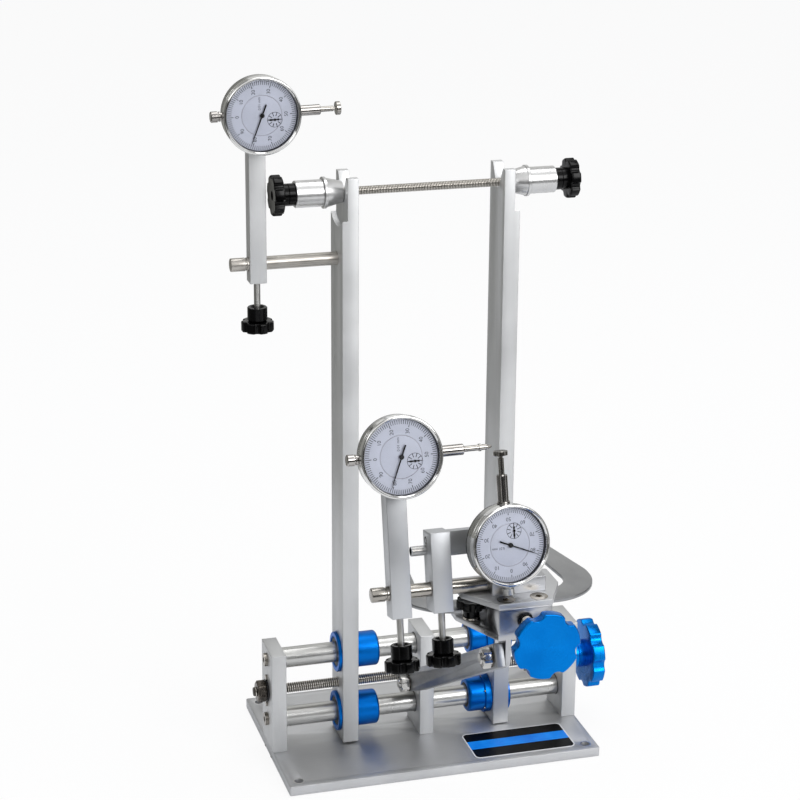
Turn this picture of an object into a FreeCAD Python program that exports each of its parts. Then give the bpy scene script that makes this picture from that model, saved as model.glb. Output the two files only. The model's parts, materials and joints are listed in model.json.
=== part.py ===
import FreeCAD, Part
import math
import os

# Bicycle wheel truing stand, in millimetres.
# Origin: centre of the base plate's underside.  X runs along the wheel axle to the
# right, Y runs away from the user, Z is up.  The wheel turns in the plane X = 0.

# ---------------------------------------------------------------- driving sizes
base_width = 250.0
base_depth = 157.0
base_thickness = 7.5
base_corner_radius = 1.5
base_hole_inset = 9.0
base_hole_radius = 3.5

frame_y = -2.8                  # plane that holds the rods, lead screw, uprights and axle
bracket_thickness = 11.5
bracket_depth = 35.5
end_bracket_height = 82.0
centre_bracket_height = 85.0

rod_radius = 8.0
rod_seat_depth = 5.5            # how far a guide rod enters each end bracket
upper_rod_z = 79.8
lower_rod_z = 28.9

lead_screw_radius = 4.0
lead_screw_z = 53.4
lead_screw_tail = 11.0          # thread standing out of the left bracket
spindle_knob_radius = 27.5
spindle_knob_thickness = 10.0
spindle_hub_radius = 11.0
spindle_hub_length = 11.4
spindle_knob_lobes = 8

upright_width = 12.5            # along X
upright_depth = 34.5            # along Y
upright_top_z = 461.7
upright_gap = 1.1               # daylight under each upright
upright_x = 62.0                # centre of each upright from the middle, as stored
axle_z = 448.7
slot_radius = 4.5
slot_mouth = 23.0               # width of the slot at the top of the upright
pocket_radius = 25.2            # round recess that centres the clamp cone
pocket_depth = 4.1

bush_radius = 13.8
bush_reach = 18.6               # barrel standing out on the inner side
bush_collar_radius = 15.8
bush_collar_thickness = 2.5
bush_flange_radius = 15.5
bush_flange_thickness = 5.5
bush_screw_radius = 1.3

axle_radius = 3.2
axle_half_length = 107.0
cone_tip_radius = 8.0
cone_root_radius = 11.0
cone_length = 12.5
clamp_ring_radius = 11.75
clamp_ring_length = 2.3
sleeve_radius = 10.0
sleeve_length = 21.0
clamp_hub_radius = 8.25
clamp_hub_length = 9.5
clamp_star_radius = 15.0
clamp_star_thickness = 7.5

hub_rod_z = 398.6
hub_rod_radius = 5.0
hub_rod_end_x = -148.4
hub_rod_head_length = 11.9
hub_arm_x = -128.6
hub_arm_size = 12.5
hub_arm_bottom_z = 384.7
hub_gauge_z = 513.0

arm_thickness = 7.5
arm_height = 17.5
arm_eye_radius = 7.0
arm_neck_length = 28.0          # from the rear pivot to the full height
arm_pivot_y = -14.4
arm_pivot_z = 51.6
arm_length = 232.0              # from pivot to pivot
arm_angle = 29.35               # above level, as stored
arm_nose = 9.5                  # past the front pivot
stud_radius = 4.0
nut_flats = 13.0
nut_thickness = 6.6
washer_radius = 8.0
washer_thickness = 0.45

carriage_x = 1.8                # middle of the carriage
carriage_width = 38.2
top_plate_width = 70.4
top_shoulder_y = -216.3
lower_plate_width = 69.0
lower_shoulder_y = -203.0
plate_shift = -2.6               # the plates' wide part sits a little left of the block
plate_thickness = 4.2
carriage_front_y = -243.0
plate_back_y = -191.0
block_back_y = -217.6
carriage_bottom_z = 189.5
carriage_height = 26.9
lug_thickness = 4.0
lug_radius = 8.0
rod_block_depth = 22.0
rod_block_height = 11.1
rod_spigot_radius = 4.0
rod_spigot_short = 6.0          # wall left at the end of the spigot's hole
plate_screw_radius = 6.2
plate_screw_spread = 23.5

gauge_rod_radius = 5.0
gauge_rod_y = -217.0
gauge_rod_rise = 5.3            # above the top plate
gauge_rod_left_x = -100.0
gauge_lean = 12.0               # degrees that the gauge arms lean back about their rod
gauge_arm_size = 14.0
lateral_arm_x = -80.6
lateral_arm_drop = 16.8
lateral_gauge_rise = 96.2
lateral_arm_top = 103.0
radial_arm_x = -51.2
radial_arm_drop = 15.8
radial_arm_top = 39.4
radial_leg_back = 11.0          # leg and beam end this far behind the rod's axis
radial_beam_top = 38.0
radial_beam_height = 17.0
radial_beam_depth = 8.0
radial_beam_end_x = 3.0
radial_gauge_x = -8.9
radial_gauge_front = 18.6       # plunger's plane in front of the rod's axis
radial_gauge_rise = 29.8
radial_lug_gap = 1.3            # the lug's end is turned a little to the beam
radial_stud_radius = 3.4
radial_stud_reach = 10.5
radial_stud_rise = 25.7
radial_stud_back = 7.4
radial_screw_radius = 3.0
radial_screw_rise = 33.0
radial_screw_back = 4.0

horseshoe_thickness = 2.6
horseshoe_z = 198.5
horseshoe_front_y = -211.0
horseshoe_inner_y = -193.0
horseshoe_tip_y = -115.0
horseshoe_outer = 71.9          # half width at the bend
horseshoe_inner = 55.6
horseshoe_tip_outer = 60.2
horseshoe_tip_inner = 47.0
horseshoe_inner_shift = -2.1    # the cut-out's middle, from the carriage's
horseshoe_bend_y = -166.0
horseshoe_outer_round = 38.0
horseshoe_bend_round = 30.0
horseshoe_inner_round = 20.0
horseshoe_tip_round = 5.0
tang_width = 28.0
tang_back_y = -194.0

feed_forward = 4.0              # how far the horseshoe can be drawn forwards
feed_screw_radius = 4.0
feed_screw_z = 203.0
feed_screw_back_y = -180.5
feed_knob_face_y = -288.0
feed_knob_radius = 23.2
feed_knob_thickness = 8.0
feed_hub_radius = 9.0
feed_hub_length = 20.0
feed_knob_lobes = 6
feed_knob_turn = -12.0           # degrees, as stored
feed_collar_radius = 5.2
feed_collar_thickness = 2.0

lock_knob_x = -26.2
lock_knob_y = -209.8
lock_star_radius = 10.5
lock_star_thickness = 6.0
lock_star_rise = 7.8
lock_ring_height = 1.6
lock_hub_radius = 5.9

clamp_screw_radius = 3.0
arm_star_radius = 12.1
arm_star_thickness = 7.8
arm_hub_radius = 7.4
arm_hub_length = 10.5
arm_screw_gap = 19.0            # bare thread between an arm's end and its knob

gauge_bezel_radius = 28.2
gauge_window_radius = 25.2
gauge_bezel_front = 11.0        # in front of the plunger's plane
gauge_bezel_back = 5.8
gauge_skirt = 1.6               # how far the bezel overlaps the case
gauge_case_radius = 27.6
gauge_case_back = 5.5
gauge_wall = 1.6
gauge_lug_radius = 8.0
gauge_lug_length = 5.5          # on the two gauges that sit on square arms
gauge_stem_radius = 3.8
gauge_spindle_radius = 2.0
gauge_cap_radius = 4.0
gauge_cap_end = 35.7
crystal_thickness = 1.0
crystal_inset = 1.0             # behind the bezel's front edge
dial_thickness = 0.5
dial_back_y = -6.2              # just in front of the plunger's spindle
dial_centre_radius = 14.6       # fixed middle of the dial; the graduated ring turns round it
dial_post_radius = 1.5
dial_post_reach = 9.0           # posts of the fixed middle, from the gauge's axis each way
counter_reach = 10.0            # small hand's centre from the dial's centre
counter_turn = 21.0             # degrees clockwise from the stem
pointer_length = 22.0
pointer_tail = 8.5
counter_length = 5.0
counter_tail = 3.0
hub_stem_end = 44.0             # from a gauge's centre, as are the plungers' ends
hub_tip_end = 58.6
lateral_stem_end = 45.0
lateral_tip_end = 64.8
radial_stem_end = 47.2
radial_tip_end = 63.5
tip_disc_radius = 4.9
tip_disc_thickness = 3.2
tip_nib_length = 3.5

# fits
running = 0.05                  # radial, where one piece turns or slides in another
side_gap = 0.3                  # between faces that pass each other
seat_gap = 0.2                  # between a part and the face that it is pressed on
press = 0.0                     # a piece fixed in its hole has the hole's own size

# worked out once from the sizes above
base_top = base_thickness
frame_front_y = frame_y - upright_depth / 2
bracket_face_x = base_width / 2                     # outer face of an end bracket
bracket_inner_x = bracket_face_x - bracket_thickness
upright_outer_x = upright_x + upright_width / 2
upright_inner_x = upright_x - upright_width / 2
pocket_floor_x = upright_outer_x - pocket_depth
arm_right_x = -bracket_thickness / 2 - side_gap
arm_left_x = arm_right_x - arm_thickness
arm_rise = math.radians(arm_angle)
counter_x = counter_reach * math.cos(math.radians(counter_turn))
counter_z = -counter_reach * math.sin(math.radians(counter_turn))
front_pivot_y = arm_pivot_y - arm_length * math.cos(arm_rise)
front_pivot_z = arm_pivot_z + arm_length * math.sin(arm_rise)
carriage_top_z = carriage_bottom_z + carriage_height
gauge_rod_z = carriage_top_z + gauge_rod_rise
carriage_left_x = carriage_x - carriage_width / 2
carriage_right_x = carriage_x + carriage_width / 2
block_bottom_z = carriage_bottom_z + plate_thickness
block_top_z = carriage_top_z - plate_thickness


# ---------------------------------------------------------------- helpers
def vector(x, y, z):
    return FreeCAD.Vector(x, y, z)


def block(x0, x1, y0, y1, z0, z1):
    """A box between two corners."""
    return Part.makeBox(x1 - x0, y1 - y0, z1 - z0, vector(x0, y0, z0))


def bar_x(x0, x1, radius, y, z):
    """A round bar along X."""
    return Part.makeCylinder(radius, x1 - x0, vector(x0, y, z), vector(1, 0, 0))


def bar_y(y0, y1, radius, x, z):
    """A round bar along Y."""
    return Part.makeCylinder(radius, y1 - y0, vector(x, y0, z), vector(0, 1, 0))


def bar_z(z0, z1, radius, x, y):
    """A round bar along Z."""
    return Part.makeCylinder(radius, z1 - z0, vector(x, y, z0), vector(0, 0, 1))


def rounded_wire(points, radii):
    """A closed flat wire through corner points, each corner rounded by its radius."""
    count = len(points)
    starts, arcs, ends = [], [], []
    for index in range(count):
        corner = points[index]
        before = (points[index - 1] - corner).normalize()
        after = (points[(index + 1) % count] - corner).normalize()
        radius = radii[index]
        if radius == 0:
            starts.append(corner)
            arcs.append(None)
            ends.append(corner)
            continue
        half = before.getAngle(after) / 2
        cut = radius / math.tan(half)
        middle = (before + after).normalize()
        centre = corner + middle * (radius / math.sin(half))
        first, last = corner + before * cut, corner + after * cut
        starts.append(first)
        arcs.append(Part.Arc(first, centre - middle * radius, last).toShape())
        ends.append(last)
    edges = []
    for index in range(count):
        if arcs[index] is not None:
            edges.append(arcs[index])
        following = (index + 1) % count
        if (starts[following] - ends[index]).Length > 1e-6:
            edges.append(Part.LineSegment(ends[index], starts[following]).toShape())
    return Part.Wire(edges)


def prism(points, radii, direction):
    """A flat outline with rounded corners, pushed along a direction."""
    return Part.Face(rounded_wire(points, radii)).extrude(direction)


def hex_along_x(x0, x1, flats, y, z):
    """A hexagon bar along X, two flats level."""
    corner = flats / math.sqrt(3)
    points = [vector(x0, y + corner * math.cos(math.radians(60 * turn)),
                     z + corner * math.sin(math.radians(60 * turn))) for turn in range(6)]
    return prism(points, [0] * 6, vector(x1 - x0, 0, 0))


def star(radius, lobes, thickness, notch, depth):
    """A star knob's head: a disc along +Z from 0 with round notches of a given depth."""
    head = Part.makeCylinder(radius, thickness)
    edge = min(thickness * 0.18, radius * 0.1)
    head = head.makeFillet(edge, [e for e in head.Edges if len(e.Vertexes) == 1])
    reach = radius + notch - depth
    for index in range(lobes):
        angle = 2 * math.pi * (index + 0.5) / lobes
        spot = vector(reach * math.cos(angle), reach * math.sin(angle), -1)
        head = head.cut(Part.makeCylinder(notch, thickness + 2, spot))
    return head


def along_x(shape, x, y, z, sign):
    """Turn a shape built along +Z to run along X, outwards on the side of the sign."""
    shape.rotate(vector(0, 0, 0), vector(0, 1, 0), 90 * sign)
    shape.translate(vector(x, y, z))
    return shape


def along_minus_y(shape, x, y, z):
    """Turn a shape built along +Z to run towards the user."""
    shape.rotate(vector(0, 0, 0), vector(1, 0, 0), 90)
    shape.translate(vector(x, y, z))
    return shape


def lean_back(shape):
    """Lean a piece of the gauge arms back about the gauge rod."""
    shape.rotate(vector(0, gauge_rod_y, gauge_rod_z), vector(1, 0, 0), -gauge_lean)
    return shape


# ---------------------------------------------------------------- stand
bracket_screw_radius = 3.0
bracket_screw_head = 6.0
bracket_screw_depth = 14.0
bracket_screw_spread = 20.0
rod_screw_radius = 3.0
rod_screw_head = 5.2
rod_screw_head_height = 2.6
rod_screw_depth = 12.0
guard_screw_head = 2.4
guard_screw_offset = 11.0
guard_screw_height = 1.4
guard_screw_heights = [lead_screw_z - guard_screw_offset, lead_screw_z + guard_screw_offset]
guard_screw_depth = 6.0

bracket_centres = [-bracket_face_x + bracket_thickness / 2, 0.0,
                   bracket_face_x - bracket_thickness / 2]
bracket_screw_spots = [(x, frame_y + side * bracket_screw_spread / 2)
                       for x in bracket_centres for side in (-1, 1)]


def base_screw(x, y):
    """Countersunk screw from the underside of the base into a bracket."""
    head_depth = bracket_screw_head - bracket_screw_radius
    head = Part.makeCone(bracket_screw_head, bracket_screw_radius, head_depth,
                         vector(x, y, 0.3))
    shank = bar_z(0.3 + head_depth, base_top + bracket_screw_depth, bracket_screw_radius, x, y)
    return head.fuse(shank).removeSplitter()


def base_plate():
    half_x, half_y = base_width / 2, base_depth / 2
    corners = [vector(-half_x, -half_y, 0), vector(half_x, -half_y, 0),
               vector(half_x, half_y, 0), vector(-half_x, half_y, 0)]
    plate = prism(corners, [base_corner_radius] * 4, vector(0, 0, base_thickness))
    for side_x in (-1, 1):
        for side_y in (-1, 1):
            plate = plate.cut(bar_z(-1, base_thickness + 1, base_hole_radius,
                                    side_x * (half_x - base_hole_inset),
                                    side_y * (half_y - base_hole_inset)))
    for x, y in bracket_screw_spots:
        plate = plate.cut(bar_z(-1, 0.3, bracket_screw_head, x, y))
        plate = plate.cut(base_screw(x, y))
    return plate


def bracket_body(x, height):
    body = block(x - bracket_thickness / 2, x + bracket_thickness / 2,
                 frame_y - bracket_depth / 2, frame_y + bracket_depth / 2,
                 base_top, base_top + height)
    for screw_x, screw_y in bracket_screw_spots:
        if abs(screw_x - x) < bracket_thickness / 2:
            body = body.cut(bar_z(base_top - 1, base_top + bracket_screw_depth,
                                  bracket_screw_radius, screw_x, screw_y))
    return body.cut(bar_x(x - bracket_thickness, x + bracket_thickness,
                          lead_screw_radius + running, frame_y, lead_screw_z))


def end_bracket(side):
    """Bracket at one end: blind seats for the rods, screw holes behind them."""
    x = side * (bracket_face_x - bracket_thickness / 2)
    body = bracket_body(x, end_bracket_height)
    inner, seat = side * bracket_inner_x, side * (bracket_inner_x + rod_seat_depth)
    for z in (upper_rod_z, lower_rod_z):
        body = body.cut(bar_x(min(inner, seat), max(inner, seat), rod_radius, frame_y, z))
        body = body.cut(bar_x(x - bracket_thickness, x + bracket_thickness,
                              rod_screw_radius, frame_y, z))
    if side < 0:
        for z in guard_screw_heights:
            body = body.cut(bar_x(-bracket_face_x, -bracket_face_x + guard_screw_depth,
                                  guard_screw_head / 2, frame_y, z))
    return body


def centre_bracket():
    body = bracket_body(0, centre_bracket_height)
    for z in (upper_rod_z, lower_rod_z):
        body = body.cut(bar_x(-bracket_thickness, bracket_thickness, rod_radius, frame_y, z))
    return body.cut(bar_x(-bracket_thickness, bracket_thickness, stud_radius,
                          arm_pivot_y, arm_pivot_z))


def guide_rod(z):
    end = bracket_inner_x + rod_seat_depth
    rod = bar_x(-end, end, rod_radius, frame_y, z)
    tapped = rod_screw_depth - (bracket_thickness - rod_seat_depth)
    for side in (-1, 1):
        hole = (side * end, side * (end - tapped))
        rod = rod.cut(bar_x(min(hole), max(hole), rod_screw_radius, frame_y, z))
    return rod


def frame_screws():
    """Base screws, the screws that hold the rods' ends and the small guard screws."""
    screws = [base_screw(x, y) for x, y in bracket_screw_spots]
    for side in (-1, 1):
        face = side * bracket_face_x
        for z in (upper_rod_z, lower_rod_z):
            head = Part.makeCylinder(rod_screw_head, rod_screw_head_height)
            head = head.cut(hex_socket(rod_screw_head_height))
            shank = Part.makeCylinder(rod_screw_radius, rod_screw_depth,
                                      vector(0, 0, -rod_screw_depth))
            screws.append(along_x(head.fuse(shank), face, frame_y, z, side))
    for z in guard_screw_heights:
        head = Part.makeCylinder(guard_screw_head, guard_screw_height)
        shank = Part.makeCylinder(guard_screw_head / 2, guard_screw_depth,
                                  vector(0, 0, -guard_screw_depth))
        screws.append(along_x(head.fuse(shank), -bracket_face_x, frame_y, z, -1))
    return Part.makeCompound(screws)


def hex_socket(height):
    """The six-sided recess in a socket screw's head, from half its height upwards."""
    corner = 2.3
    points = [vector(corner * math.cos(math.radians(60 * turn)),
                     corner * math.sin(math.radians(60 * turn)), height / 2)
              for turn in range(6)]
    return prism(points, [0] * 6, vector(0, 0, height))


# ---------------------------------------------------------------- lead screw
def lead_screw():
    start = -bracket_face_x - lead_screw_tail
    end = bracket_face_x + seat_gap + spindle_hub_length + spindle_knob_thickness / 2
    return bar_x(start, end, lead_screw_radius, frame_y, lead_screw_z)


def lead_screw_nut():
    """Washer and lock nut that hold the screw's left end."""
    start = -bracket_face_x - seat_gap
    hole = bar_x(start - 2 * nut_thickness, start, lead_screw_radius, frame_y, lead_screw_z)
    washer = bar_x(start - 1.2, start, washer_radius, frame_y, lead_screw_z).cut(hole)
    nut = hex_along_x(start - 1.2 - nut_thickness, start - 1.2, nut_flats,
                      frame_y, lead_screw_z).cut(hole)
    return Part.makeCompound([washer, nut])


def spindle_knob():
    """Star knob on the lead screw: hub against the right bracket, star outside it."""
    head = star(spindle_knob_radius, spindle_knob_lobes, spindle_knob_thickness, 6.0, 2.2)
    head.translate(vector(0, 0, spindle_hub_length))
    knob = head.fuse(Part.makeCylinder(spindle_hub_radius, spindle_hub_length))
    bore = spindle_hub_length + spindle_knob_thickness / 2
    knob = knob.cut(Part.makeCylinder(lead_screw_radius, bore))
    return along_x(knob, bracket_face_x + seat_gap, frame_y, lead_screw_z, 1)


# ---------------------------------------------------------------- uprights
def upright(side):
    """Upright: slot and round pocket for the axle on top, bush and screw holes below."""
    x0, x1 = side * upright_x - upright_width / 2, side * upright_x + upright_width / 2
    body = block(x0, x1, frame_front_y, frame_y + upright_depth / 2,
                 base_top + upright_gap, upright_top_z)
    floor, outer = side * pocket_floor_x, side * upright_outer_x
    body = body.cut(bar_x(min(floor, outer + side), max(floor, outer + side),
                          pocket_radius, frame_y, axle_z))
    mouth_z = upright_top_z + 1
    slope = (slot_mouth / 2 - slot_radius) / (upright_top_z - axle_z)
    mouth = slot_radius + slope * (mouth_z - axle_z)
    funnel = [vector(x0 - 1, frame_y - slot_radius, axle_z),
              vector(x0 - 1, frame_y + slot_radius, axle_z),
              vector(x0 - 1, frame_y + mouth, mouth_z),
              vector(x0 - 1, frame_y - mouth, mouth_z)]
    body = body.cut(prism(funnel, [0] * 4, vector(upright_width + 2, 0, 0)))
    body = body.cut(bar_x(x0 - 1, x1 + 1, slot_radius, frame_y, axle_z))
    for z in (upper_rod_z, lower_rod_z):
        body = body.cut(bar_x(x0 - 1, x1 + 1, bush_radius + press, frame_y, z))
    body = body.cut(bar_x(x0 - 1, x1 + 1, lead_screw_radius + running, frame_y, lead_screw_z))
    if side < 0:
        body = body.cut(bar_x(x0 - 1, x1 + 1, hub_rod_radius + press, frame_y, hub_rod_z))
    return body


def bush(side, z, flanged):
    """Guide bush: collar outside the upright, barrel inside it, flange where screwed."""
    barrel_start = side * (upright_inner_x - bush_reach)
    barrel_end = side * upright_outer_x
    body = bar_x(min(barrel_start, barrel_end), max(barrel_start, barrel_end),
                 bush_radius, frame_y, z)
    collar = (side * upright_outer_x, side * (upright_outer_x + bush_collar_thickness))
    body = body.fuse(bar_x(min(collar), max(collar), bush_collar_radius, frame_y, z))
    if flanged:
        flange = (side * (upright_inner_x - bush_flange_thickness), side * upright_inner_x)
        body = body.fuse(bar_x(min(flange), max(flange), bush_flange_radius, frame_y, z))
        for screw in bush_screw_set(side, z):
            body = body.cut(screw)
    bore = bar_x(-base_width, base_width, rod_radius + running, frame_y, z)
    return body.cut(bore).removeSplitter()


def bush_screw_set(side, z):
    """Small screws round a bush's flange, heads on the flange."""
    face = side * (upright_inner_x - bush_flange_thickness)
    ring = (bush_radius + bush_flange_radius) / 2
    screws = []
    for index in range(6):
        angle = math.radians(30 + 60 * index)
        y, spot_z = frame_y + ring * math.cos(angle), z + ring * math.sin(angle)
        ends = (face - side * 0.8, face + side * 3.0)
        screws.append(bar_x(min(ends), max(ends), bush_screw_radius / 2, y, spot_z))
    return screws


def bushes(side):
    flanged = side > 0
    return Part.makeCompound([bush(side, z, flanged) for z in (upper_rod_z, lower_rod_z)])


def bush_screws():
    return Part.makeCompound(bush_screw_set(1, upper_rod_z) + bush_screw_set(1, lower_rod_z))


# ---------------------------------------------------------------- axle and clamps
def clamp_sleeve(side):
    """Cone, ring and barrel in one turned piece, running on the axle rod."""
    cone = Part.makeCone(cone_tip_radius, cone_root_radius, cone_length)
    ring = Part.makeCylinder(clamp_ring_radius, clamp_ring_length, vector(0, 0, cone_length))
    barrel_start = cone_length + clamp_ring_length
    barrel = Part.makeCylinder(sleeve_radius, sleeve_length, vector(0, 0, barrel_start))
    body = cone.fuse(ring).fuse(barrel)
    bore = Part.makeCylinder(axle_radius + running, barrel_start + sleeve_length + 1)
    tip_x = side * (pocket_floor_x + seat_gap)
    return along_x(body.cut(bore).removeSplitter(), tip_x, frame_y, axle_z, side)


def clamp_knob(side):
    hub = Part.makeCylinder(clamp_hub_radius, clamp_hub_length)
    head = star(clamp_star_radius, 7, clamp_star_thickness, 3.2, 2.2)
    head.translate(vector(0, 0, clamp_hub_length))
    bore = Part.makeCylinder(axle_radius + running, clamp_hub_length + clamp_star_thickness)
    start = pocket_floor_x + seat_gap + cone_length + clamp_ring_length + sleeve_length
    return along_x(hub.fuse(head).cut(bore), side * start, frame_y, axle_z, side)


# ---------------------------------------------------------------- knobs on the arms
def arm_knob(x, y, arm_end_z, tip_z):
    """Clamp screw pointing up with its knob hanging below: hub on top, star under it."""
    hub_top = arm_end_z - arm_screw_gap
    screw = bar_z(hub_top - 1, tip_z, clamp_screw_radius, x, y)
    hub = bar_z(hub_top - arm_hub_length, hub_top, arm_hub_radius, x, y)
    head = star(arm_star_radius, 7, arm_star_thickness, 2.8, 1.9)
    head.translate(vector(x, y, hub_top - arm_hub_length - arm_star_thickness))
    return screw.fuse(hub).fuse(head).removeSplitter()


# ---------------------------------------------------------------- hub gauge arm
def hub_gauge_rod():
    rod = bar_x(hub_rod_end_x, -upright_inner_x, hub_rod_radius, frame_y, hub_rod_z)
    neck_x = hub_rod_end_x + hub_rod_head_length
    neck = bar_x(neck_x - 1.0, neck_x, hub_rod_radius + 1, frame_y, hub_rod_z)
    core = bar_x(neck_x - 1.0, neck_x, hub_rod_radius - 0.8, frame_y, hub_rod_z)
    return rod.cut(neck.cut(core))


def hub_gauge_arm():
    half = hub_arm_size / 2
    arm = block(hub_arm_x - half, hub_arm_x + half, frame_y - half, frame_y + half,
                hub_arm_bottom_z, hub_gauge_z + half)
    arm = arm.cut(bar_x(hub_arm_x - half - 1, hub_arm_x + half + 1,
                        hub_rod_radius + running, frame_y, hub_rod_z))
    return arm.cut(bar_z(hub_arm_bottom_z - 1, hub_rod_z, clamp_screw_radius + running,
                         hub_arm_x, frame_y))


def hub_arm_knob():
    return arm_knob(hub_arm_x, frame_y, hub_arm_bottom_z, hub_rod_z - hub_rod_radius - side_gap)


# ---------------------------------------------------------------- swing arm
def turn_with_arm(shape):
    """Lift a piece built level, forwards from the rear pivot, to the arm's angle."""
    shape.rotate(vector(0, arm_pivot_y, arm_pivot_z), vector(1, 0, 0), -arm_angle)
    return shape


def swing_arm():
    """Flat bar from the centre bracket to the carriage, narrower round its rear pivot."""
    front = arm_pivot_y - arm_length - arm_nose
    half = arm_height / 2
    neck_y = arm_pivot_y - arm_neck_length
    outline = [vector(arm_left_x, arm_pivot_y + arm_eye_radius, arm_pivot_z - arm_eye_radius),
               vector(arm_left_x, neck_y, arm_pivot_z - half),
               vector(arm_left_x, front, arm_pivot_z - half),
               vector(arm_left_x, front, arm_pivot_z + half),
               vector(arm_left_x, neck_y, arm_pivot_z + half),
               vector(arm_left_x, arm_pivot_y + arm_eye_radius, arm_pivot_z + arm_eye_radius)]
    eye = arm_eye_radius * 0.98
    bar = prism(outline, [eye, 0, 1.0, 1.0, 0, eye], vector(arm_thickness, 0, 0))
    for y in (arm_pivot_y, arm_pivot_y - arm_length):
        bar = bar.cut(bar_x(arm_left_x - 1, arm_right_x + 1, stud_radius + running,
                            y, arm_pivot_z))
    return turn_with_arm(bar)


def pivot_nut(y, z):
    """Washer and nut on the left face of the swing arm."""
    face = arm_left_x - running
    hole = bar_x(face - 2 * nut_thickness, face, stud_radius, y, z)
    washer = bar_x(face - washer_thickness, face, washer_radius - 0.8, y, z).cut(hole)
    nut = hex_along_x(face - washer_thickness - nut_thickness, face - washer_thickness,
                      nut_flats, y, z).cut(hole)
    return [washer, nut]


def arm_pivot_bolt():
    """Bolt through the centre bracket, head on the right and nut on the left."""
    head_x = bracket_thickness / 2
    shank = bar_x(arm_left_x - nut_thickness - 1.5, head_x, stud_radius,
                  arm_pivot_y, arm_pivot_z)
    head = hex_along_x(head_x, head_x + 4.8, nut_flats - 1.5, arm_pivot_y, arm_pivot_z)
    return Part.makeCompound([shank.fuse(head)] + pivot_nut(arm_pivot_y, arm_pivot_z))


def carriage_pivot_bolt():
    """Stud screwed into the carriage's lug, with its nut on the arm's left face."""
    end = -bracket_thickness / 2 + lug_thickness
    shank = bar_x(arm_left_x - nut_thickness - 1.5, end, stud_radius,
                  front_pivot_y, front_pivot_z)
    return Part.makeCompound([shank] + pivot_nut(front_pivot_y, front_pivot_z))


# ---------------------------------------------------------------- carriage
def carriage_plate(z, width, shoulder_y):
    """Six-cornered plate: narrow in front, full width behind its shoulders."""
    narrow, wide = carriage_width / 2, width / 2
    outline = [(-narrow, carriage_front_y), (narrow, carriage_front_y), (wide, shoulder_y),
               (wide, plate_back_y), (-wide, plate_back_y), (-wide, shoulder_y)]
    points = [vector(carriage_x + x + (plate_shift if y > carriage_front_y else 0), y, z)
              for x, y in outline]
    return prism(points, [0.6, 0.6, 2.0, 2.0, 2.0, 2.0], vector(0, 0, plate_thickness))


def plate_screw_spots():
    y = (carriage_front_y + gauge_rod_y - rod_block_depth / 2) / 2
    return [(carriage_x + side * plate_screw_spread / 2, y) for side in (-1, 1)]


def carriage_body():
    """Lower plate, front block and the lug that hangs from the plate to the arm."""
    body = carriage_plate(carriage_bottom_z, lower_plate_width, lower_shoulder_y)
    body = body.fuse(block(carriage_left_x, carriage_right_x, carriage_front_y, block_back_y,
                           block_bottom_z, block_top_z))
    lug_x0 = -bracket_thickness / 2
    lug = block(lug_x0, lug_x0 + lug_thickness, front_pivot_y - lug_radius,
                front_pivot_y + lug_radius, front_pivot_z, carriage_bottom_z + 1)
    lug = lug.fuse(bar_x(lug_x0, lug_x0 + lug_thickness, lug_radius,
                         front_pivot_y, front_pivot_z))
    body = body.fuse(lug).removeSplitter()
    body = body.cut(bar_x(lug_x0 - 1, lug_x0 + lug_thickness + 1, stud_radius,
                          front_pivot_y, front_pivot_z))
    body = body.cut(bar_y(carriage_front_y - 1, block_back_y + 1,
                          feed_screw_radius + running, carriage_x, feed_screw_z))
    for x, y in plate_screw_spots():
        body = body.cut(bar_z(block_top_z - 8, block_top_z + 1, clamp_screw_radius, x, y))
    return body.cut(bar_z(carriage_bottom_z - 1, block_bottom_z + 1,
                          clamp_screw_radius + running, lock_knob_x, lock_knob_y))


def plate_screw(x, y):
    """Countersunk socket screw, its head level with the plate."""
    depth = plate_screw_radius - clamp_screw_radius
    head = Part.makeCone(clamp_screw_radius, plate_screw_radius, depth,
                         vector(x, y, carriage_top_z - depth))
    shank = bar_z(block_top_z - 8, carriage_top_z - depth, clamp_screw_radius, x, y)
    return head.fuse(shank)


def carriage_top_plate():
    plate = carriage_plate(block_top_z, top_plate_width, top_shoulder_y)
    for x, y in plate_screw_spots():
        plate = plate.cut(plate_screw(x, y))
    return plate


def plate_screws():
    screws = []
    for x, y in plate_screw_spots():
        socket = hex_socket(4.0)
        socket.translate(vector(x, y, carriage_top_z - 4.0))
        screws.append(plate_screw(x, y).cut(socket))
    return Part.makeCompound(screws)


def rod_block():
    """Block on the top plate that grips the gauge rod."""
    half = rod_block_depth / 2
    body = block(carriage_left_x, carriage_right_x, gauge_rod_y - half, gauge_rod_y + half,
                 carriage_top_z, carriage_top_z + rod_block_height)
    return body.cut(bar_x(carriage_left_x - 1, carriage_right_x - rod_spigot_short,
                          rod_spigot_radius, gauge_rod_y, gauge_rod_z))


def gauge_rod():
    rod = bar_x(gauge_rod_left_x, carriage_left_x, gauge_rod_radius, gauge_rod_y, gauge_rod_z)
    spigot = bar_x(carriage_left_x - 1, carriage_right_x - rod_spigot_short,
                   rod_spigot_radius, gauge_rod_y, gauge_rod_z)
    rod = rod.fuse(spigot).removeSplitter()
    neck_x = gauge_rod_left_x + 10.5
    ring = bar_x(neck_x - 1.2, neck_x, gauge_rod_radius + 1, gauge_rod_y, gauge_rod_z)
    core = bar_x(neck_x - 1.2, neck_x, gauge_rod_radius - 0.9, gauge_rod_y, gauge_rod_z)
    return rod.cut(ring.cut(core))


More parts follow.
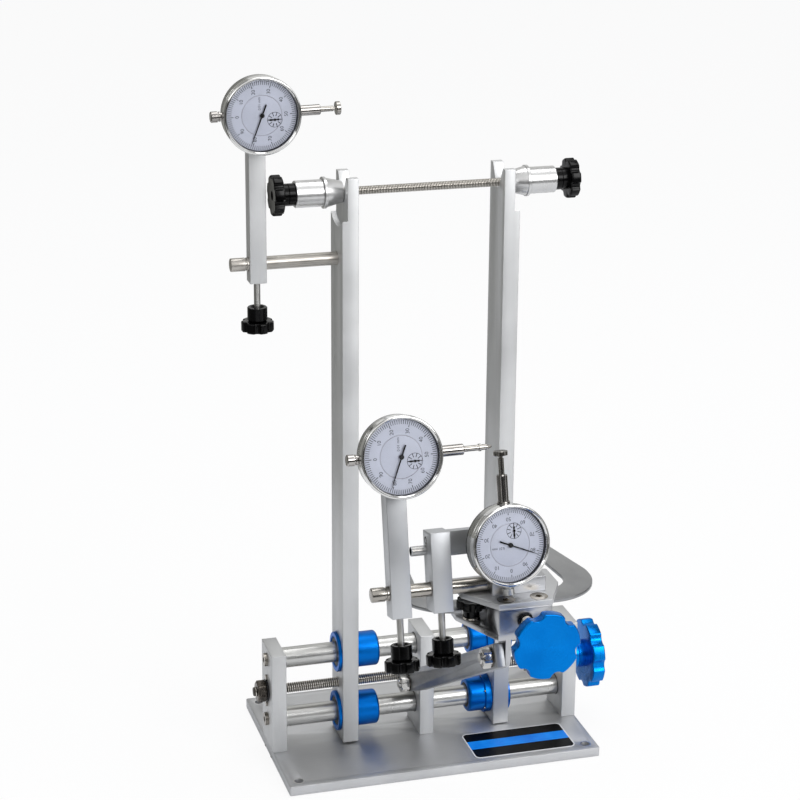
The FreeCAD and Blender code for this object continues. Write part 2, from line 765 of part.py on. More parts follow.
def lock_knob():
    """Small star knob between the plates: ring and hub below, star on top."""
    x, y = lock_knob_x, lock_knob_y
    seat = block_bottom_z + seat_gap
    ring = bar_z(seat, seat + lock_ring_height, lock_hub_radius + 0.3, x, y)
    hub = bar_z(seat + lock_ring_height, seat + lock_star_rise, lock_hub_radius, x, y)
    shank = bar_z(carriage_bottom_z - 1.5, seat, clamp_screw_radius, x, y)
    head = star(lock_star_radius, 7, lock_star_thickness, 2.4, 1.7)
    head.translate(vector(x, y, seat + lock_star_rise))
    return ring.fuse(hub).fuse(shank).fuse(head).removeSplitter()


# ---------------------------------------------------------------- horseshoe and feed
def horseshoe():
    """Open-backed horseshoe plate with a tang that slides between the carriage plates."""
    right = [vector(horseshoe_outer, horseshoe_front_y, horseshoe_z),
             vector(horseshoe_outer, horseshoe_bend_y, horseshoe_z),
             vector(horseshoe_tip_outer, horseshoe_tip_y, horseshoe_z),
             vector(horseshoe_tip_inner, horseshoe_tip_y, horseshoe_z),
             vector(horseshoe_inner, horseshoe_inner_y, horseshoe_z)]
    shift = [0, 0, 0, horseshoe_inner_shift, horseshoe_inner_shift]
    radii = [horseshoe_outer_round, horseshoe_bend_round, horseshoe_tip_round,
             horseshoe_tip_round, horseshoe_inner_round]
    left = [vector(-p.x, p.y, p.z) for p in reversed(right)]
    outline = [point + vector(carriage_x + move, 0, 0)
               for point, move in zip(right + left, shift + shift[::-1])]
    plate = prism(outline, radii + radii[::-1], vector(0, 0, horseshoe_thickness))
    half = tang_width / 2
    tang = block(carriage_x - half, carriage_x + half, horseshoe_front_y, tang_back_y,
                 block_bottom_z + side_gap, block_top_z - side_gap)
    body = plate.fuse(tang).removeSplitter()
    slot = lock_hub_radius + 1.0
    slot_back_y = lock_knob_y + feed_forward
    body = body.cut(bar_z(horseshoe_z - 1, horseshoe_z + horseshoe_thickness + 1, slot,
                          lock_knob_x, slot_back_y))
    body = body.cut(block(lock_knob_x - slot, lock_knob_x + slot, horseshoe_front_y - 1,
                          slot_back_y, horseshoe_z - 1,
                          horseshoe_z + horseshoe_thickness + 1))
    return body.cut(bar_y(horseshoe_front_y - 1, tang_back_y + 1,
                          feed_screw_radius + running, carriage_x, feed_screw_z))


def feed_screw():
    """Screw through the front block, with the collar that bears on its face."""
    front = feed_knob_face_y + feed_knob_thickness / 2
    screw = bar_y(front, feed_screw_back_y, feed_screw_radius, carriage_x, feed_screw_z)
    collar_back = carriage_front_y - seat_gap
    collar = bar_y(collar_back - feed_collar_thickness, collar_back,
                   feed_collar_radius, carriage_x, feed_screw_z)
    return screw.fuse(collar).removeSplitter()


def feed_knob():
    head = star(feed_knob_radius, feed_knob_lobes, feed_knob_thickness, 5.5, 2.2)
    head.rotate(vector(0, 0, 0), vector(0, 0, 1), feed_knob_turn)
    head.translate(vector(0, 0, feed_hub_length))
    knob = head.fuse(Part.makeCylinder(feed_hub_radius, feed_hub_length))
    bore = feed_hub_length + feed_knob_thickness / 2
    knob = knob.cut(Part.makeCylinder(feed_screw_radius, bore))
    back_y = feed_knob_face_y + feed_knob_thickness + feed_hub_length
    return along_minus_y(knob, carriage_x, back_y, feed_screw_z)


# ---------------------------------------------------------------- gauge arms
def lateral_arm():
    half = gauge_arm_size / 2
    arm = block(lateral_arm_x - half, lateral_arm_x + half,
                gauge_rod_y - half, gauge_rod_y + half,
                gauge_rod_z - lateral_arm_drop, gauge_rod_z + lateral_arm_top)
    arm = arm.cut(bar_x(lateral_arm_x - half - 1, lateral_arm_x + half + 1,
                        gauge_rod_radius + running, gauge_rod_y, gauge_rod_z))
    arm = arm.cut(bar_z(gauge_rod_z - lateral_arm_drop - 1, gauge_rod_z,
                        clamp_screw_radius + running, lateral_arm_x, gauge_rod_y))
    return lean_back(arm)


def lateral_arm_knob():
    return lean_back(arm_knob(lateral_arm_x, gauge_rod_y, gauge_rod_z - lateral_arm_drop,
                              gauge_rod_z - gauge_rod_radius - side_gap))


def radial_bracket():
    """Upright leg on the rod, level beam behind the gauge, screw and stud in its side."""
    half = gauge_arm_size / 2
    left, right = radial_arm_x - half, radial_arm_x + half
    back_y = gauge_rod_y + radial_leg_back
    leg = block(left, right, gauge_rod_y - half, back_y,
                gauge_rod_z - radial_arm_drop, gauge_rod_z + radial_arm_top)
    beam_top = gauge_rod_z + radial_beam_top
    beam = block(right - 1, radial_beam_end_x, back_y - radial_beam_depth, back_y,
                 beam_top - radial_beam_height, beam_top)
    body = leg.fuse(beam).removeSplitter()
    body = body.cut(bar_x(left - 1, right + 1, gauge_rod_radius + running,
                          gauge_rod_y, gauge_rod_z))
    body = body.cut(bar_z(gauge_rod_z - radial_arm_drop - 1, gauge_rod_z,
                          clamp_screw_radius + running, radial_arm_x, gauge_rod_y))
    stud = bar_x(left - radial_stud_reach, left + 4, radial_stud_radius,
                 gauge_rod_y + radial_stud_back, gauge_rod_z + radial_stud_rise)
    screw = bar_x(left - 0.4, left + 6, radial_screw_radius,
                  gauge_rod_y + radial_screw_back, gauge_rod_z + radial_screw_rise)
    body = body.cut(stud).cut(screw)
    return lean_back(Part.makeCompound([body, stud, screw]))


def radial_arm_knob():
    return lean_back(arm_knob(radial_arm_x, gauge_rod_y, gauge_rod_z - radial_arm_drop,
                              gauge_rod_z - gauge_rod_radius - side_gap))


# ---------------------------------------------------------------- dial gauges
# Each gauge is built with its centre at the origin, its face towards the user and its
# plunger towards +X, and then carried to its place.
def gauge_case(stem_end, lug_length):
    """Cup with the stem on one side, the dust cap on the other and the lug behind."""
    depth = gauge_case_back + gauge_bezel_back - 0.2
    front = vector(0, -gauge_bezel_back + 0.2, 0)
    outer = Part.makeCylinder(gauge_case_radius, depth, front, vector(0, 1, 0))
    rim = [e for e in outer.Edges if len(e.Vertexes) == 1 and e.CenterOfMass.y > 0]
    outer = outer.makeFillet(2.0, rim)
    stem = bar_x(gauge_case_radius - 3, stem_end, gauge_stem_radius, 0, 0)
    neck = bar_x(-gauge_cap_end + 4, -gauge_case_radius + 3, gauge_cap_radius - 1.0, 0, 0)
    cap = bar_x(-gauge_cap_end, -gauge_cap_end + 5.0, gauge_cap_radius, 0, 0)
    lug = bar_y(gauge_case_back - 0.5, gauge_case_back + lug_length, gauge_lug_radius, 0, 0)
    body = outer.fuse(stem).fuse(neck).fuse(cap).fuse(lug)
    cavity = Part.makeCylinder(gauge_case_radius - gauge_wall, depth - gauge_wall,
                               front, vector(0, 1, 0))
    bore = bar_x(-gauge_case_radius + 0.5, stem_end + 1, gauge_spindle_radius + running, 0, 0)
    return body.cut(cavity).cut(bore).fuse(dial_middle()).removeSplitter()


def dial_middle():
    """Fixed middle of the dial on four posts, with holes for the two hands' arbors."""
    plate = Part.makeCylinder(dial_centre_radius, dial_thickness,
                              vector(0, dial_back_y, 0), vector(0, -1, 0))
    plate = plate.cut(bar_y(dial_back_y - 2, dial_back_y + 2, 1.1, 0, 0))
    plate = plate.cut(bar_y(dial_back_y - 2, dial_back_y + 2, 0.8, counter_x, counter_z))
    for x in (-dial_post_reach, dial_post_reach):
        for z in (-dial_post_reach, dial_post_reach):
            plate = plate.fuse(bar_y(dial_back_y, gauge_case_back - gauge_wall,
                                     dial_post_radius, x, z))
    return plate


def gauge_bezel():
    """Turning ring that holds the crystal, its skirt running on the case's rim."""
    length = gauge_bezel_front - gauge_bezel_back + gauge_skirt
    back = vector(0, -gauge_bezel_back + gauge_skirt, 0)
    ring = Part.makeCylinder(gauge_bezel_radius, length, back, vector(0, -1, 0))
    ring = ring.makeFillet(1.4, [e for e in ring.Edges if len(e.Vertexes) == 1])
    window = Part.makeCylinder(gauge_window_radius, length, back, vector(0, -1, 0))
    seat = gauge_crystal()
    skirt = Part.makeCylinder(gauge_case_radius + running, gauge_skirt, back, vector(0, -1, 0))
    return ring.cut(window).cut(seat).cut(skirt)


def gauge_crystal():
    back_y = -gauge_bezel_front + crystal_inset + crystal_thickness
    return Part.makeCylinder(gauge_window_radius + 0.8, crystal_thickness,
                             vector(0, back_y, 0), vector(0, -1, 0))


def gauge_dial():
    """Graduated ring gripped by the bezel, running round the dial's fixed middle."""
    disc = Part.makeCylinder(gauge_window_radius, dial_thickness,
                             vector(0, dial_back_y, 0), vector(0, -1, 0))
    return disc.cut(bar_y(dial_back_y - 2, dial_back_y + 2, dial_centre_radius + 2 * running, 0, 0))


def hand(length, tail, width, hub, arbor, lift):
    """A hand pointing up at a height over the dial, with its hub and arbor."""
    y = dial_back_y - dial_thickness - lift
    points = [vector(-width / 2, y, -tail), vector(width / 2, y, -tail),
              vector(width / 2, y, length * 0.6), vector(0.12, y, length),
              vector(-0.12, y, length), vector(-width / 2, y, length * 0.6)]
    blade = prism(points, [0] * 6, vector(0, -0.25, 0))
    centre = bar_y(y - 0.4, y + 0.1, hub, 0, 0)
    pin = bar_y(y, -gauge_spindle_radius - 0.4, arbor, 0, 0)
    return blade.fuse(centre).fuse(pin)


def gauge_pointer(angle):
    shape = hand(pointer_length, pointer_tail, 1.1, 1.7, 0.8, 1.2)
    shape.rotate(vector(0, 0, 0), vector(0, 1, 0), angle)
    return shape


def gauge_counter(angle):
    shape = hand(counter_length, counter_tail, 0.7, 0.9, 0.5, 0.3)
    shape.rotate(vector(0, 0, 0), vector(0, 1, 0), angle)
    shape.translate(vector(counter_x, 0, counter_z))
    return shape


def gauge_plunger(tip_end, tip):
    """Spindle through the case, with a flat disc or a slim nib on its end."""
    spindle = bar_x(-gauge_case_radius + 13.5, tip_end - 3.0, gauge_spindle_radius, 0, 0)
    if tip == "disc":
        end = bar_x(tip_end - tip_disc_thickness, tip_end, tip_disc_radius, 0, 0)
    else:
        collar = bar_x(tip_end - 9.0, tip_end - 7.5, gauge_spindle_radius + 0.6, 0, 0)
        nib = Part.makeCone(1.6, 1.0, tip_nib_length, vector(tip_end - tip_nib_length, 0, 0),
                            vector(1, 0, 0))
        end = collar.fuse(nib)
    return spindle.fuse(end).removeSplitter()


# Stem's end, plunger's end, its tip, lug, angles of the long and of the small hand, and how
# far the gauge is rolled in its own plane and turned about its arm.
radial_lug_length = (radial_gauge_front + radial_leg_back - radial_beam_depth
                     - gauge_case_back - radial_lug_gap)
gauges = {
    "hub": (hub_stem_end, hub_tip_end, "disc", gauge_lug_length, 202.3, 270.0, 1.3, 0.0),
    "lateral": (lateral_stem_end, lateral_tip_end, "nib", gauge_lug_length, 201.5, 270.0, 0.5, 0.0),
    "radial": (radial_stem_end, radial_tip_end, "disc", radial_lug_length, 203.5, 270.0, 90.9, 6.5),
}


def place_gauge(name, shape, roll, turn):
    """Turn a piece in the gauge's plane and carry it to its place on the stand."""
    reach = gauge_lug_length + gauge_case_back
    shape.rotate(vector(0, 0, 0), vector(0, 1, 0), -roll)
    shape.rotate(vector(0, 0, 0), vector(0, 0, 1), turn)
    if name == "hub":
        shape.translate(vector(hub_arm_x, frame_y - hub_arm_size / 2 - reach, hub_gauge_z))
        return shape
    if name == "lateral":
        shape.translate(vector(lateral_arm_x, gauge_rod_y - gauge_arm_size / 2 - reach,
                               gauge_rod_z + lateral_gauge_rise))
        return lean_back(shape)
    shape.translate(vector(radial_gauge_x, gauge_rod_y - radial_gauge_front,
                           gauge_rod_z + radial_gauge_rise))
    return lean_back(shape)


# ---------------------------------------------------------------- all pieces
pieces = {
    "base_plate": base_plate(),
    "end_bracket_left": end_bracket(-1),
    "end_bracket_right": end_bracket(1),
    "centre_bracket": centre_bracket(),
    "guide_rod_upper": guide_rod(upper_rod_z),
    "guide_rod_lower": guide_rod(lower_rod_z),
    "frame_screws": frame_screws(),
    "arm_pivot_bolt": arm_pivot_bolt(),
    "lead_screw": lead_screw(),
    "lead_screw_nut": lead_screw_nut(),
    "spindle_knob": spindle_knob(),
    "upright_left": upright(-1),
    "upright_right": upright(1),
    "bushes_left": bushes(-1),
    "bushes_right": bushes(1),
    "bush_screws": bush_screws(),
    "axle_rod": bar_x(-axle_half_length, axle_half_length, axle_radius, frame_y, axle_z),
    "clamp_sleeve_left": clamp_sleeve(-1),
    "clamp_sleeve_right": clamp_sleeve(1),
    "clamp_knob_left": clamp_knob(-1),
    "clamp_knob_right": clamp_knob(1),
    "hub_gauge_rod": hub_gauge_rod(),
    "hub_gauge_arm": hub_gauge_arm(),
    "hub_arm_knob": hub_arm_knob(),
    "swing_arm": swing_arm(),
    "carriage_pivot_bolt": carriage_pivot_bolt(),
    "carriage_body": carriage_body(),
    "carriage_top_plate": carriage_top_plate(),
    "plate_screws": plate_screws(),
    "rod_block": rod_block(),
    "gauge_rod": gauge_rod(),
    "lock_knob": lock_knob(),
    "horseshoe": horseshoe(),
    "feed_screw": feed_screw(),
    "feed_knob": feed_knob(),
    "lateral_arm": lateral_arm(),
    "lateral_arm_knob": lateral_arm_knob(),
    "radial_bracket": radial_bracket(),
    "radial_arm_knob": radial_arm_knob(),
}
for name, row in gauges.items():
    stem_end, tip_end, tip, lug, long_hand, small_hand, roll, turn = row
    gauge_pieces = {
        "case": gauge_case(stem_end, lug),
        "bezel": gauge_bezel(),
        "crystal": gauge_crystal(),
        "dial": gauge_dial(),
        "pointer": gauge_pointer(long_hand),
        "counter": gauge_counter(small_hand),
        "plunger": gauge_plunger(tip_end, tip),
    }
    for piece, shape in gauge_pieces.items():
        pieces[name + "_gauge_" + piece] = place_gauge(name, shape, roll, turn)

os.makedirs("parts", exist_ok=True)
for name, shape in pieces.items():
    shape.exportStep("parts/" + name + ".step")
    print(name, len(shape.Solids), "solids", round(shape.Volume, 1), "mm3",
          "valid" if shape.isValid() else "NOT VALID")
print(len(pieces), "nodes")
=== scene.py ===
import bmesh
import bpy
import json
import math
import numpy as np
from mathutils import Matrix, Vector


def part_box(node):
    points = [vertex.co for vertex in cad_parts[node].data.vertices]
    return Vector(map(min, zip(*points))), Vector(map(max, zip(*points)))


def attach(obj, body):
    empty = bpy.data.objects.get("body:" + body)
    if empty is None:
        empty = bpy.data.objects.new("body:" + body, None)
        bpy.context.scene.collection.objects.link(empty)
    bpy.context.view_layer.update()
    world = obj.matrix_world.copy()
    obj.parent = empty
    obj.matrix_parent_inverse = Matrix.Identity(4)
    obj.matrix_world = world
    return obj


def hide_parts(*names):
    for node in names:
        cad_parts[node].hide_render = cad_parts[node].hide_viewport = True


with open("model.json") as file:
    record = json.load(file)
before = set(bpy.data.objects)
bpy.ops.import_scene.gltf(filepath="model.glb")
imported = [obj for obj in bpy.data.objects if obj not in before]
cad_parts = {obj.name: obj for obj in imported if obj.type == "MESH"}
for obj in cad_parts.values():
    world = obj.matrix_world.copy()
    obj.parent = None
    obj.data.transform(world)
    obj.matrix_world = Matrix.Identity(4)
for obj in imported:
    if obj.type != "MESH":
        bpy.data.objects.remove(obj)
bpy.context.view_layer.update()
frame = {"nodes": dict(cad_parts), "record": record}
nodes = frame["nodes"]
mm = 0.001
print("frame loaded:", len(nodes), "nodes")

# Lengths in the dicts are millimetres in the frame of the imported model; colours are sRGB hex.
gaugeRod = {"y": -217.0, "z": 221.7, "lean": 12.0}  # the front gauges' arms lean back about it
camera = {"target": (-17.92, 0.0, 282.57), "azimuth": 16.08, "elevation": 18.77, "roll": 0.40,
          "distance": 1726.63, "lens": 101.96}


# sRGB hex to linear: divided by 12.92 near black, else ((c + 0.055) / 1.055) to the power 2.4.
def linearColour(text, alpha=1.0):
    channels = [int(text[i:i + 2], 16) / 255 for i in (1, 3, 5)]
    return [c / 12.92 if c <= 0.04045 else ((c + 0.055) / 1.055) ** 2.4 for c in channels] + [alpha]


# Sets a node's inputs: a socket or a node's first output is linked, anything else is its value.
def setInputs(tree, node, inputs):
    for key, value in inputs.items():
        if isinstance(value, bpy.types.Node):
            value = value.outputs[0]
        if isinstance(value, bpy.types.NodeSocket):
            tree.links.new(value, node.inputs[key])
        else:
            node.inputs[key].default_value = value


# Adds a node with its settings, its values and its links; a ramp is a list of (place, colour).
def addNode(tree, kind, inputs=None, ramp=(), **settings):
    node = tree.nodes.new("ShaderNode" + kind)
    for name, value in settings.items():
        setattr(node, name, value)
    if ramp:
        for stop, (place, colour) in zip(node.color_ramp.elements, ramp):
            stop.position, stop.color = place, colour
    setInputs(tree, node, inputs or {})
    return node


# A material with one shader, whose inputs are still to be set.
def newMaterial(name):
    material = bpy.data.materials.new(name)
    material.use_nodes = True
    tree = material.node_tree
    tree.nodes.clear()
    shader = addNode(tree, "BsdfPrincipled")
    addNode(tree, "OutputMaterial", {"Surface": shader})
    return material, tree, shader


# Colour and roughness by masks: the dark colour and the low roughness where the mask is 0.3 or
# less, the light colour and the high one from 0.7 up.
def shade(tree, shader, mask, glossMask, look, low, high):
    colour = addNode(tree, "ValToRGB", {"Fac": mask}, ramp=[(0.3, linearColour(look["dark"])),
                                                            (0.7, linearColour(look["light"]))])
    gloss = addNode(tree, "MapRange", {"Value": glossMask, "From Min": 0.3, "From Max": 0.7,
                                       "To Min": look["roughness"] * low,
                                       "To Max": look["roughness"] * high})
    setInputs(tree, shader, {"Base Color": colour, "Roughness": gloss})


# Metal with fine lines along one direction, small pits and faint clouding. Its roughness stays
# within a fifth of the stated one, and follows the mean of the lines and the clouds.
def metal(name, look):
    material, tree, shader = newMaterial(name)
    place = addNode(tree, "TexCoord").outputs["Object"]
    turned = not isinstance(look["lines"], tuple)
    path = addNode(tree, "UVMap", uv_map="turned") if turned else place
    scale = (5, look["lines"], 1) if turned else look["lines"]
    drawn = addNode(tree, "Mapping", {"Vector": path, "Scale": scale})
    lines = addNode(tree, "TexNoise", {"Vector": drawn, "Scale": 1.0, "Detail": 3.0,
                                       "Roughness": 0.6})
    pits, clouds = (addNode(tree, "TexNoise", {"Vector": place, "Scale": 1 / (look[size] * mm),
                                               "Detail": detail})
                    for size, detail in (("pit", 2.0), ("cloud", 3.0)))
    both = addNode(tree, "Math", {0: lines, 1: clouds}, operation="ADD")
    half = addNode(tree, "Math", {0: both, 1: 0.5}, operation="MULTIPLY")
    shade(tree, shader, clouds, half, look, 0.8, 1.2)
    grooves = addNode(tree, "Bump", {"Height": lines, "Distance": look["depth"] * mm,
                                     "Strength": look.get("groove", 0.3)})
    worn = addNode(tree, "Bump", {"Height": pits, "Distance": look["pitDepth"] * mm,
                                  "Strength": 0.3, "Normal": grooves})
    setInputs(tree, shader, {"Metallic": 1.0, "Normal": worn})
    if look.get("anisotropic"):
        tangent = addNode(tree, "Tangent", direction_type="UV_MAP", uv_map="turned")
        setInputs(tree, shader, {"Anisotropic": look["anisotropic"], "Tangent": tangent})
    return material


# Surface with fine grain, a little colour drift and uneven gloss. On a thread, the mesh's own
# crest value gives colour and gloss instead of the drift: the crests painted light as a highlight,
# the roots painted dark as shade.
def grained(name, look):
    material, tree, shader = newMaterial(name)
    place = addNode(tree, "TexCoord").outputs["Object"]
    grain = addNode(tree, "TexNoise", {"Vector": place, "Scale": 1 / (look["grain"] * mm),
                                       "Detail": 3.0})
    if look["cloud"]:
        mask = addNode(tree, "TexNoise", {"Vector": place, "Scale": 1 / (look["cloud"] * mm),
                                          "Detail": 3.0})
    else:
        mask = addNode(tree, "Attribute", attribute_name="crest").outputs["Fac"]
    shade(tree, shader, mask, mask, look, *look.get("spread", (0.85, 1.15)))
    skin = addNode(tree, "Bump", {"Height": grain, "Distance": look["depth"] * mm,
                                  "Strength": 0.4})
    setInputs(tree, shader, {"Normal": skin, "Metallic": look.get("metallic", 0.0),
                             "Specular IOR Level": look["specular"]})
    return material


# Flat mineral glass: the share that it mirrors is 0.017 + 0.98 (1 - cosine of the angle) to the
# fifth power, alike from both sides, and the rest is seen straight through.
def crystalGlass():
    material, tree, shader = newMaterial("mineral glass crystal")
    place = addNode(tree, "TexCoord").outputs["Object"]
    haze = addNode(tree, "TexNoise", {"Vector": place, "Scale": 1 / (9 * mm), "Detail": 3.0})
    gloss = addNode(tree, "MapRange", {"Value": haze, "From Min": 0.3, "From Max": 0.7,
                                       "To Min": 0.01, "To Max": 0.05})
    facing = addNode(tree, "LayerWeight", {"Blend": 0.5}).outputs["Facing"]
    steep = addNode(tree, "Math", {0: facing, 1: 5.0}, operation="POWER")
    mirror = addNode(tree, "Math", {0: steep, 1: 0.98, 2: 0.017}, operation="MULTIPLY_ADD")
    setInputs(tree, shader, {"Base Color": linearColour("#f4f7ff"), "Metallic": 1.0,
                             "Roughness": gloss, "Alpha": mirror})
    return material


materials, slots = {}, {}

# Each metal: slot, material and how it was made, dark and light colour, roughness, noise cells in
# a metre along x, y and z (one number: along the profile of a turned piece), size of the pits and
# of the clouds, depth of the lines and of the pits.
metals = {
    # flat pale grey with a faint grain along the bar, no mirror
    "barAluminium": ("frame_aluminium", "drawn bar aluminium, bead blasted and clear anodised",
                     "#cbcccd", "#d5d6d7", 0.52, (2600, 2600, 60), 0.35, 45, 0.008, 0.006),
    # the same aluminium painted darker on the two bars that lean back, as painted shade
    "shadedLeanedBar": ("frame_aluminium", "drawn bar aluminium, finer blasted and clear anodised",
                  "#bcbec1", "#c6c8cb", 0.46, (2600, 2600, 60), 0.35, 45, 0.008, 0.006),
    # grain from left to right under a soft sheen
    "plateAluminium": ("frame_aluminium", "rolled plate aluminium, satin anodised",
                       "#bfc0c2", "#cbccce", 0.5, (50, 2600, 2600), 0.35, 45, 0.008, 0.006),
    # brighter glints, broken up by the cutter's lines
    "milledAluminium": ("frame_aluminium", "milled aluminium block, fine cutter lines",
                        "#a9aaad", "#c4c5c8", 0.3, (60, 2200, 2200), 0.35, 45, 0.008, 0.006),
    # bar painted darker than the other aluminium, as painted shade for its face turned from the
    # light; softer, with rubbed edges
    "shadedArmPlate": ("frame_aluminium", "sawn and tumbled aluminium bar",
                 "#8f9194", "#a3a5a8", 0.36, (2600, 90, 260), 0.35, 30, 0.01, 0.006),
    # even dark grey with a dull glint at the rims
    "horseshoePlate": ("horseshoe_steel", "cold rolled steel plate, oiled grey",
                       "#8d8e90", "#9d9ea0", 0.34, (2400, 70, 70), 0.4, 25, 0.006, 0.004),
    # deep blue with turning lines around the bush
    "blueBarrel": ("blue_aluminium", "turned aluminium, bright blue anodised",
                   "#0560b8", "#0a6fca", 0.38, 4200, 0.3, 30, 0.006, 0.003),
    # blue with the bow tie of light that a faced disc shows
    "blueKnob": ("blue_aluminium", "faced and blue anodised aluminium",
                 "#046fc5", "#087cd4", 0.27, 3600, 0.3, 30, 0.006, 0.003, {"anisotropic": 0.75}),
    # long clean bands of light along the rod
    "groundRod": ("ground_rod", "hard chromed steel rod, centreless ground",
                  "#bdbdbb", "#c8c8c6", 0.3, (3800, 30, 30), 0.5, 40, 0.0006, 0.0004),
    # grey rod whose bands are blurred by wear
    "dullRod": ("ground_rod", "cold drawn steel rod, nickel plated, dulled",
                "#aca8a2", "#bbb7b1", 0.34, 1200, 0.5, 15, 0.002, 0.002),
    # darker rod with fine turning marks and warm grey spots
    "gaugeRodSteel": ("ground_rod", "turned steel rod, nickel plated and worn",
                      "#94908a", "#aaa6a0", 0.22, 900, 0.5, 9, 0.006, 0.003),
    # bright sleeve with soft bands and hardly visible tool marks
    "turnedAluminium": ("turned_aluminium", "turned aluminium, bright finish",
                        "#c6c6c6", "#d2d2d2", 0.3, 3000, 0.4, 30, 0.002, 0.001, {"groove": 0.15}),
    # near white cap with a broad soft glint
    "capAluminium": ("gauge_chrome", "turned aluminium cap, satin",
                     "#d2d2d1", "#dededd", 0.38, 2400, 0.4, 12, 0.004, 0.002),
    # sharp light and dark bands around the bezel
    "chrome": ("gauge_chrome", "bright chrome plate on turned steel",
               "#d2d2d1", "#dddddc", 0.1, 1500, 0.5, 20, 0.002, 0.001),
    # brushed ring lines on the case's side and back
    "satinCase": ("gauge_chrome", "brushed steel gauge case",
                  "#a3a3a1", "#b3b3b1", 0.27, 2600, 0.3, 20, 0.006, 0.003),
    # darker mirror with narrow glints
    "stemSteel": ("gauge_chrome", "turned steel stem, nickel plated",
                  "#9a9794", "#b0adaa", 0.13, 1500, 0.5, 12, 0.003, 0.001),
    # smooth mirror without a direction
    "groundPin": ("plunger_steel", "ground and polished steel pin",
                  "#989590", "#aaa7a2", 0.14, (1500, 1500, 1500), 0.5, 20, 0.002, 0.001),
    # light grey pin with a wide glint
    "pinSteel": ("threaded_steel", "turned steel pin, zinc plated bright",
                 "#b9b8b5", "#c9c8c5", 0.36, 900, 0.5, 9, 0.004, 0.002),
    # warm grey heads, cloudy from the plating
    "zincSteel": ("fastener_steel", "zinc plated steel, formed",
                  "#8f8a82", "#a9a49c", 0.22, (900, 900, 900), 0.3, 6, 0.01, 0.008),
    # cleaner and brighter flats on the nuts
    "brightSteel": ("fastener_steel", "machined steel nut, bright zinc plated",
                    "#b7b6b4", "#cbcac8", 0.2, (900, 900, 900), 0.3, 5, 0.01, 0.008),
    # dark, mottled and slightly pitted
    "agedSteel": ("fastener_steel", "forged steel nut, phosphated and oiled",
                  "#57524d", "#7c766f", 0.28, (700, 700, 700), 0.6, 3, 0.03, 0.05)}
metalValues = ("dark", "light", "roughness", "lines", "pit", "cloud", "depth", "pitDepth")

# Each other surface: slot, material and how it was made, dark and light colour, roughness, size of
# the grain and of the clouds, depth of the grain, and strength of the mirror.
others = {
    # deep black with small hard glints on its rims
    "blackPlastic": ("knob_plastic", "injection moulded black nylon, glossy",
                     "#020202", "#040405", 0.2, 0.35, 6, 0.01, 0.16),
    # soft black without glints
    "seal": ("knob_plastic", "moulded black nitrile seal",
             "#0b0b0d", "#16161a", 0.5, 0.3, 4, 0.01, 0.5),
    # even bluish pale grey, matt
    "dialPaint": ("gauge_chrome", "dial face, sprayed pale grey enamel",
                  "#a9adba", "#b1b5c3", 0.5, 0.25, 12, 0.003, 0.5),
    # crisp dark lines, a little raised
    "blackPrint": ("hand_black", "black pad printed ink",
                   "#15161a", "#1d1e23", 0.4, 0.2, 4, 0.002, 0.5),
    # faint circle, nearly the dial's own tone
    "circlePrint": ("dial_face", "thin grey printed line",
                    "#8d8a96", "#97949f", 0.4, 0.2, 4, 0.002, 0.5),
    # black hands with a slight gloss
    "handEnamel": ("hand_black", "black enamel on brass hand",
                   "#08080a", "#0f0f12", 0.3, 0.2, 3, 0.002, 0.5),
    # black under a smooth film, almost without glare
    "labelBlack": ("knob_plastic", "laminated label, black ground",
                   "#020203", "#050507", 0.34, 0.6, 14, 0.004, 0.08),
    # strong blue under the same film
    "labelBlue": ("blue_aluminium", "laminated label, blue band",
                  "#0470dc", "#1e90f4", 0.34, 0.6, 18, 0.004, 0.1),
    # thin glossy pale edge
    "labelRim": ("frame_aluminium", "laminated label, light rim",
                 "#d9dadd", "#e6e7ea", 0.2, 0.6, 14, 0.004, 0.5),
    # crests painted light as a highlight over roots painted dark as shade
    "thread": ("threaded_steel", "rolled steel thread, lightly oiled",
               "#3d3a36", "#e4dfd7", 1.0, 0.4, None, 0.01, 0.5,
               {"metallic": 1.0, "spread": (0.42, 0.2)})}
otherValues = ("dark", "light", "roughness", "grain", "cloud", "depth", "specular")
for make, columns, rows in ((metal, metalValues, metals), (grained, otherValues, others)):
    for key, (slot, name, *values) in rows.items():
        extra = values[len(columns)] if len(values) > len(columns) else {}
        materials[key] = make(name, dict(zip(columns, values), **extra))
        slots[key] = slot
materials["glass"] = crystalGlass()
print("materials made:", len(materials))


# The vector's direction, with length one.
def unit(vector):
    vector = np.asarray(vector, float)
    return vector / np.linalg.norm(vector)


# Right-handed axes: right, up and the given axis.
def frameOf(axis, right=None):
    axis = unit(axis)
    helper = np.array((0.0, 0.0, 1.0)) if abs(axis[2]) < 0.9 else np.array((1.0, 0.0, 0.0))
    right = unit(np.cross(helper, axis)) if right is None else unit(right)
    return right, np.cross(axis, right), axis


# A direction of the upright gauge arms, leaned back.
def leanWay(vector):
    turn = math.radians(gaugeRod["lean"])
    return np.array((vector[0], vector[1] * math.cos(turn) + vector[2] * math.sin(turn),
                     -vector[1] * math.sin(turn) + vector[2] * math.cos(turn)))


# A point of the upright gauge arms, leaned back about the gauge rod.
def leanPoint(point):
    pivot = np.array((0.0, gaugeRod["y"], gaugeRod["z"]))
    return pivot + leanWay(np.asarray(point, float) - pivot)


# Quads between neighbouring closed rings of equal length; each row of points is a ring.
def ringGrid(rings):
    rows, columns = rings.shape[:2]
    row, column = np.meshgrid(np.arange(rows - 1), np.arange(columns), indexing="ij")
    a = row * columns + column
    b = row * columns + (column + 1) % columns
    return rings.reshape(-1, 3), np.stack([a, b, b + columns, a + columns], -1).reshape(-1, 4)


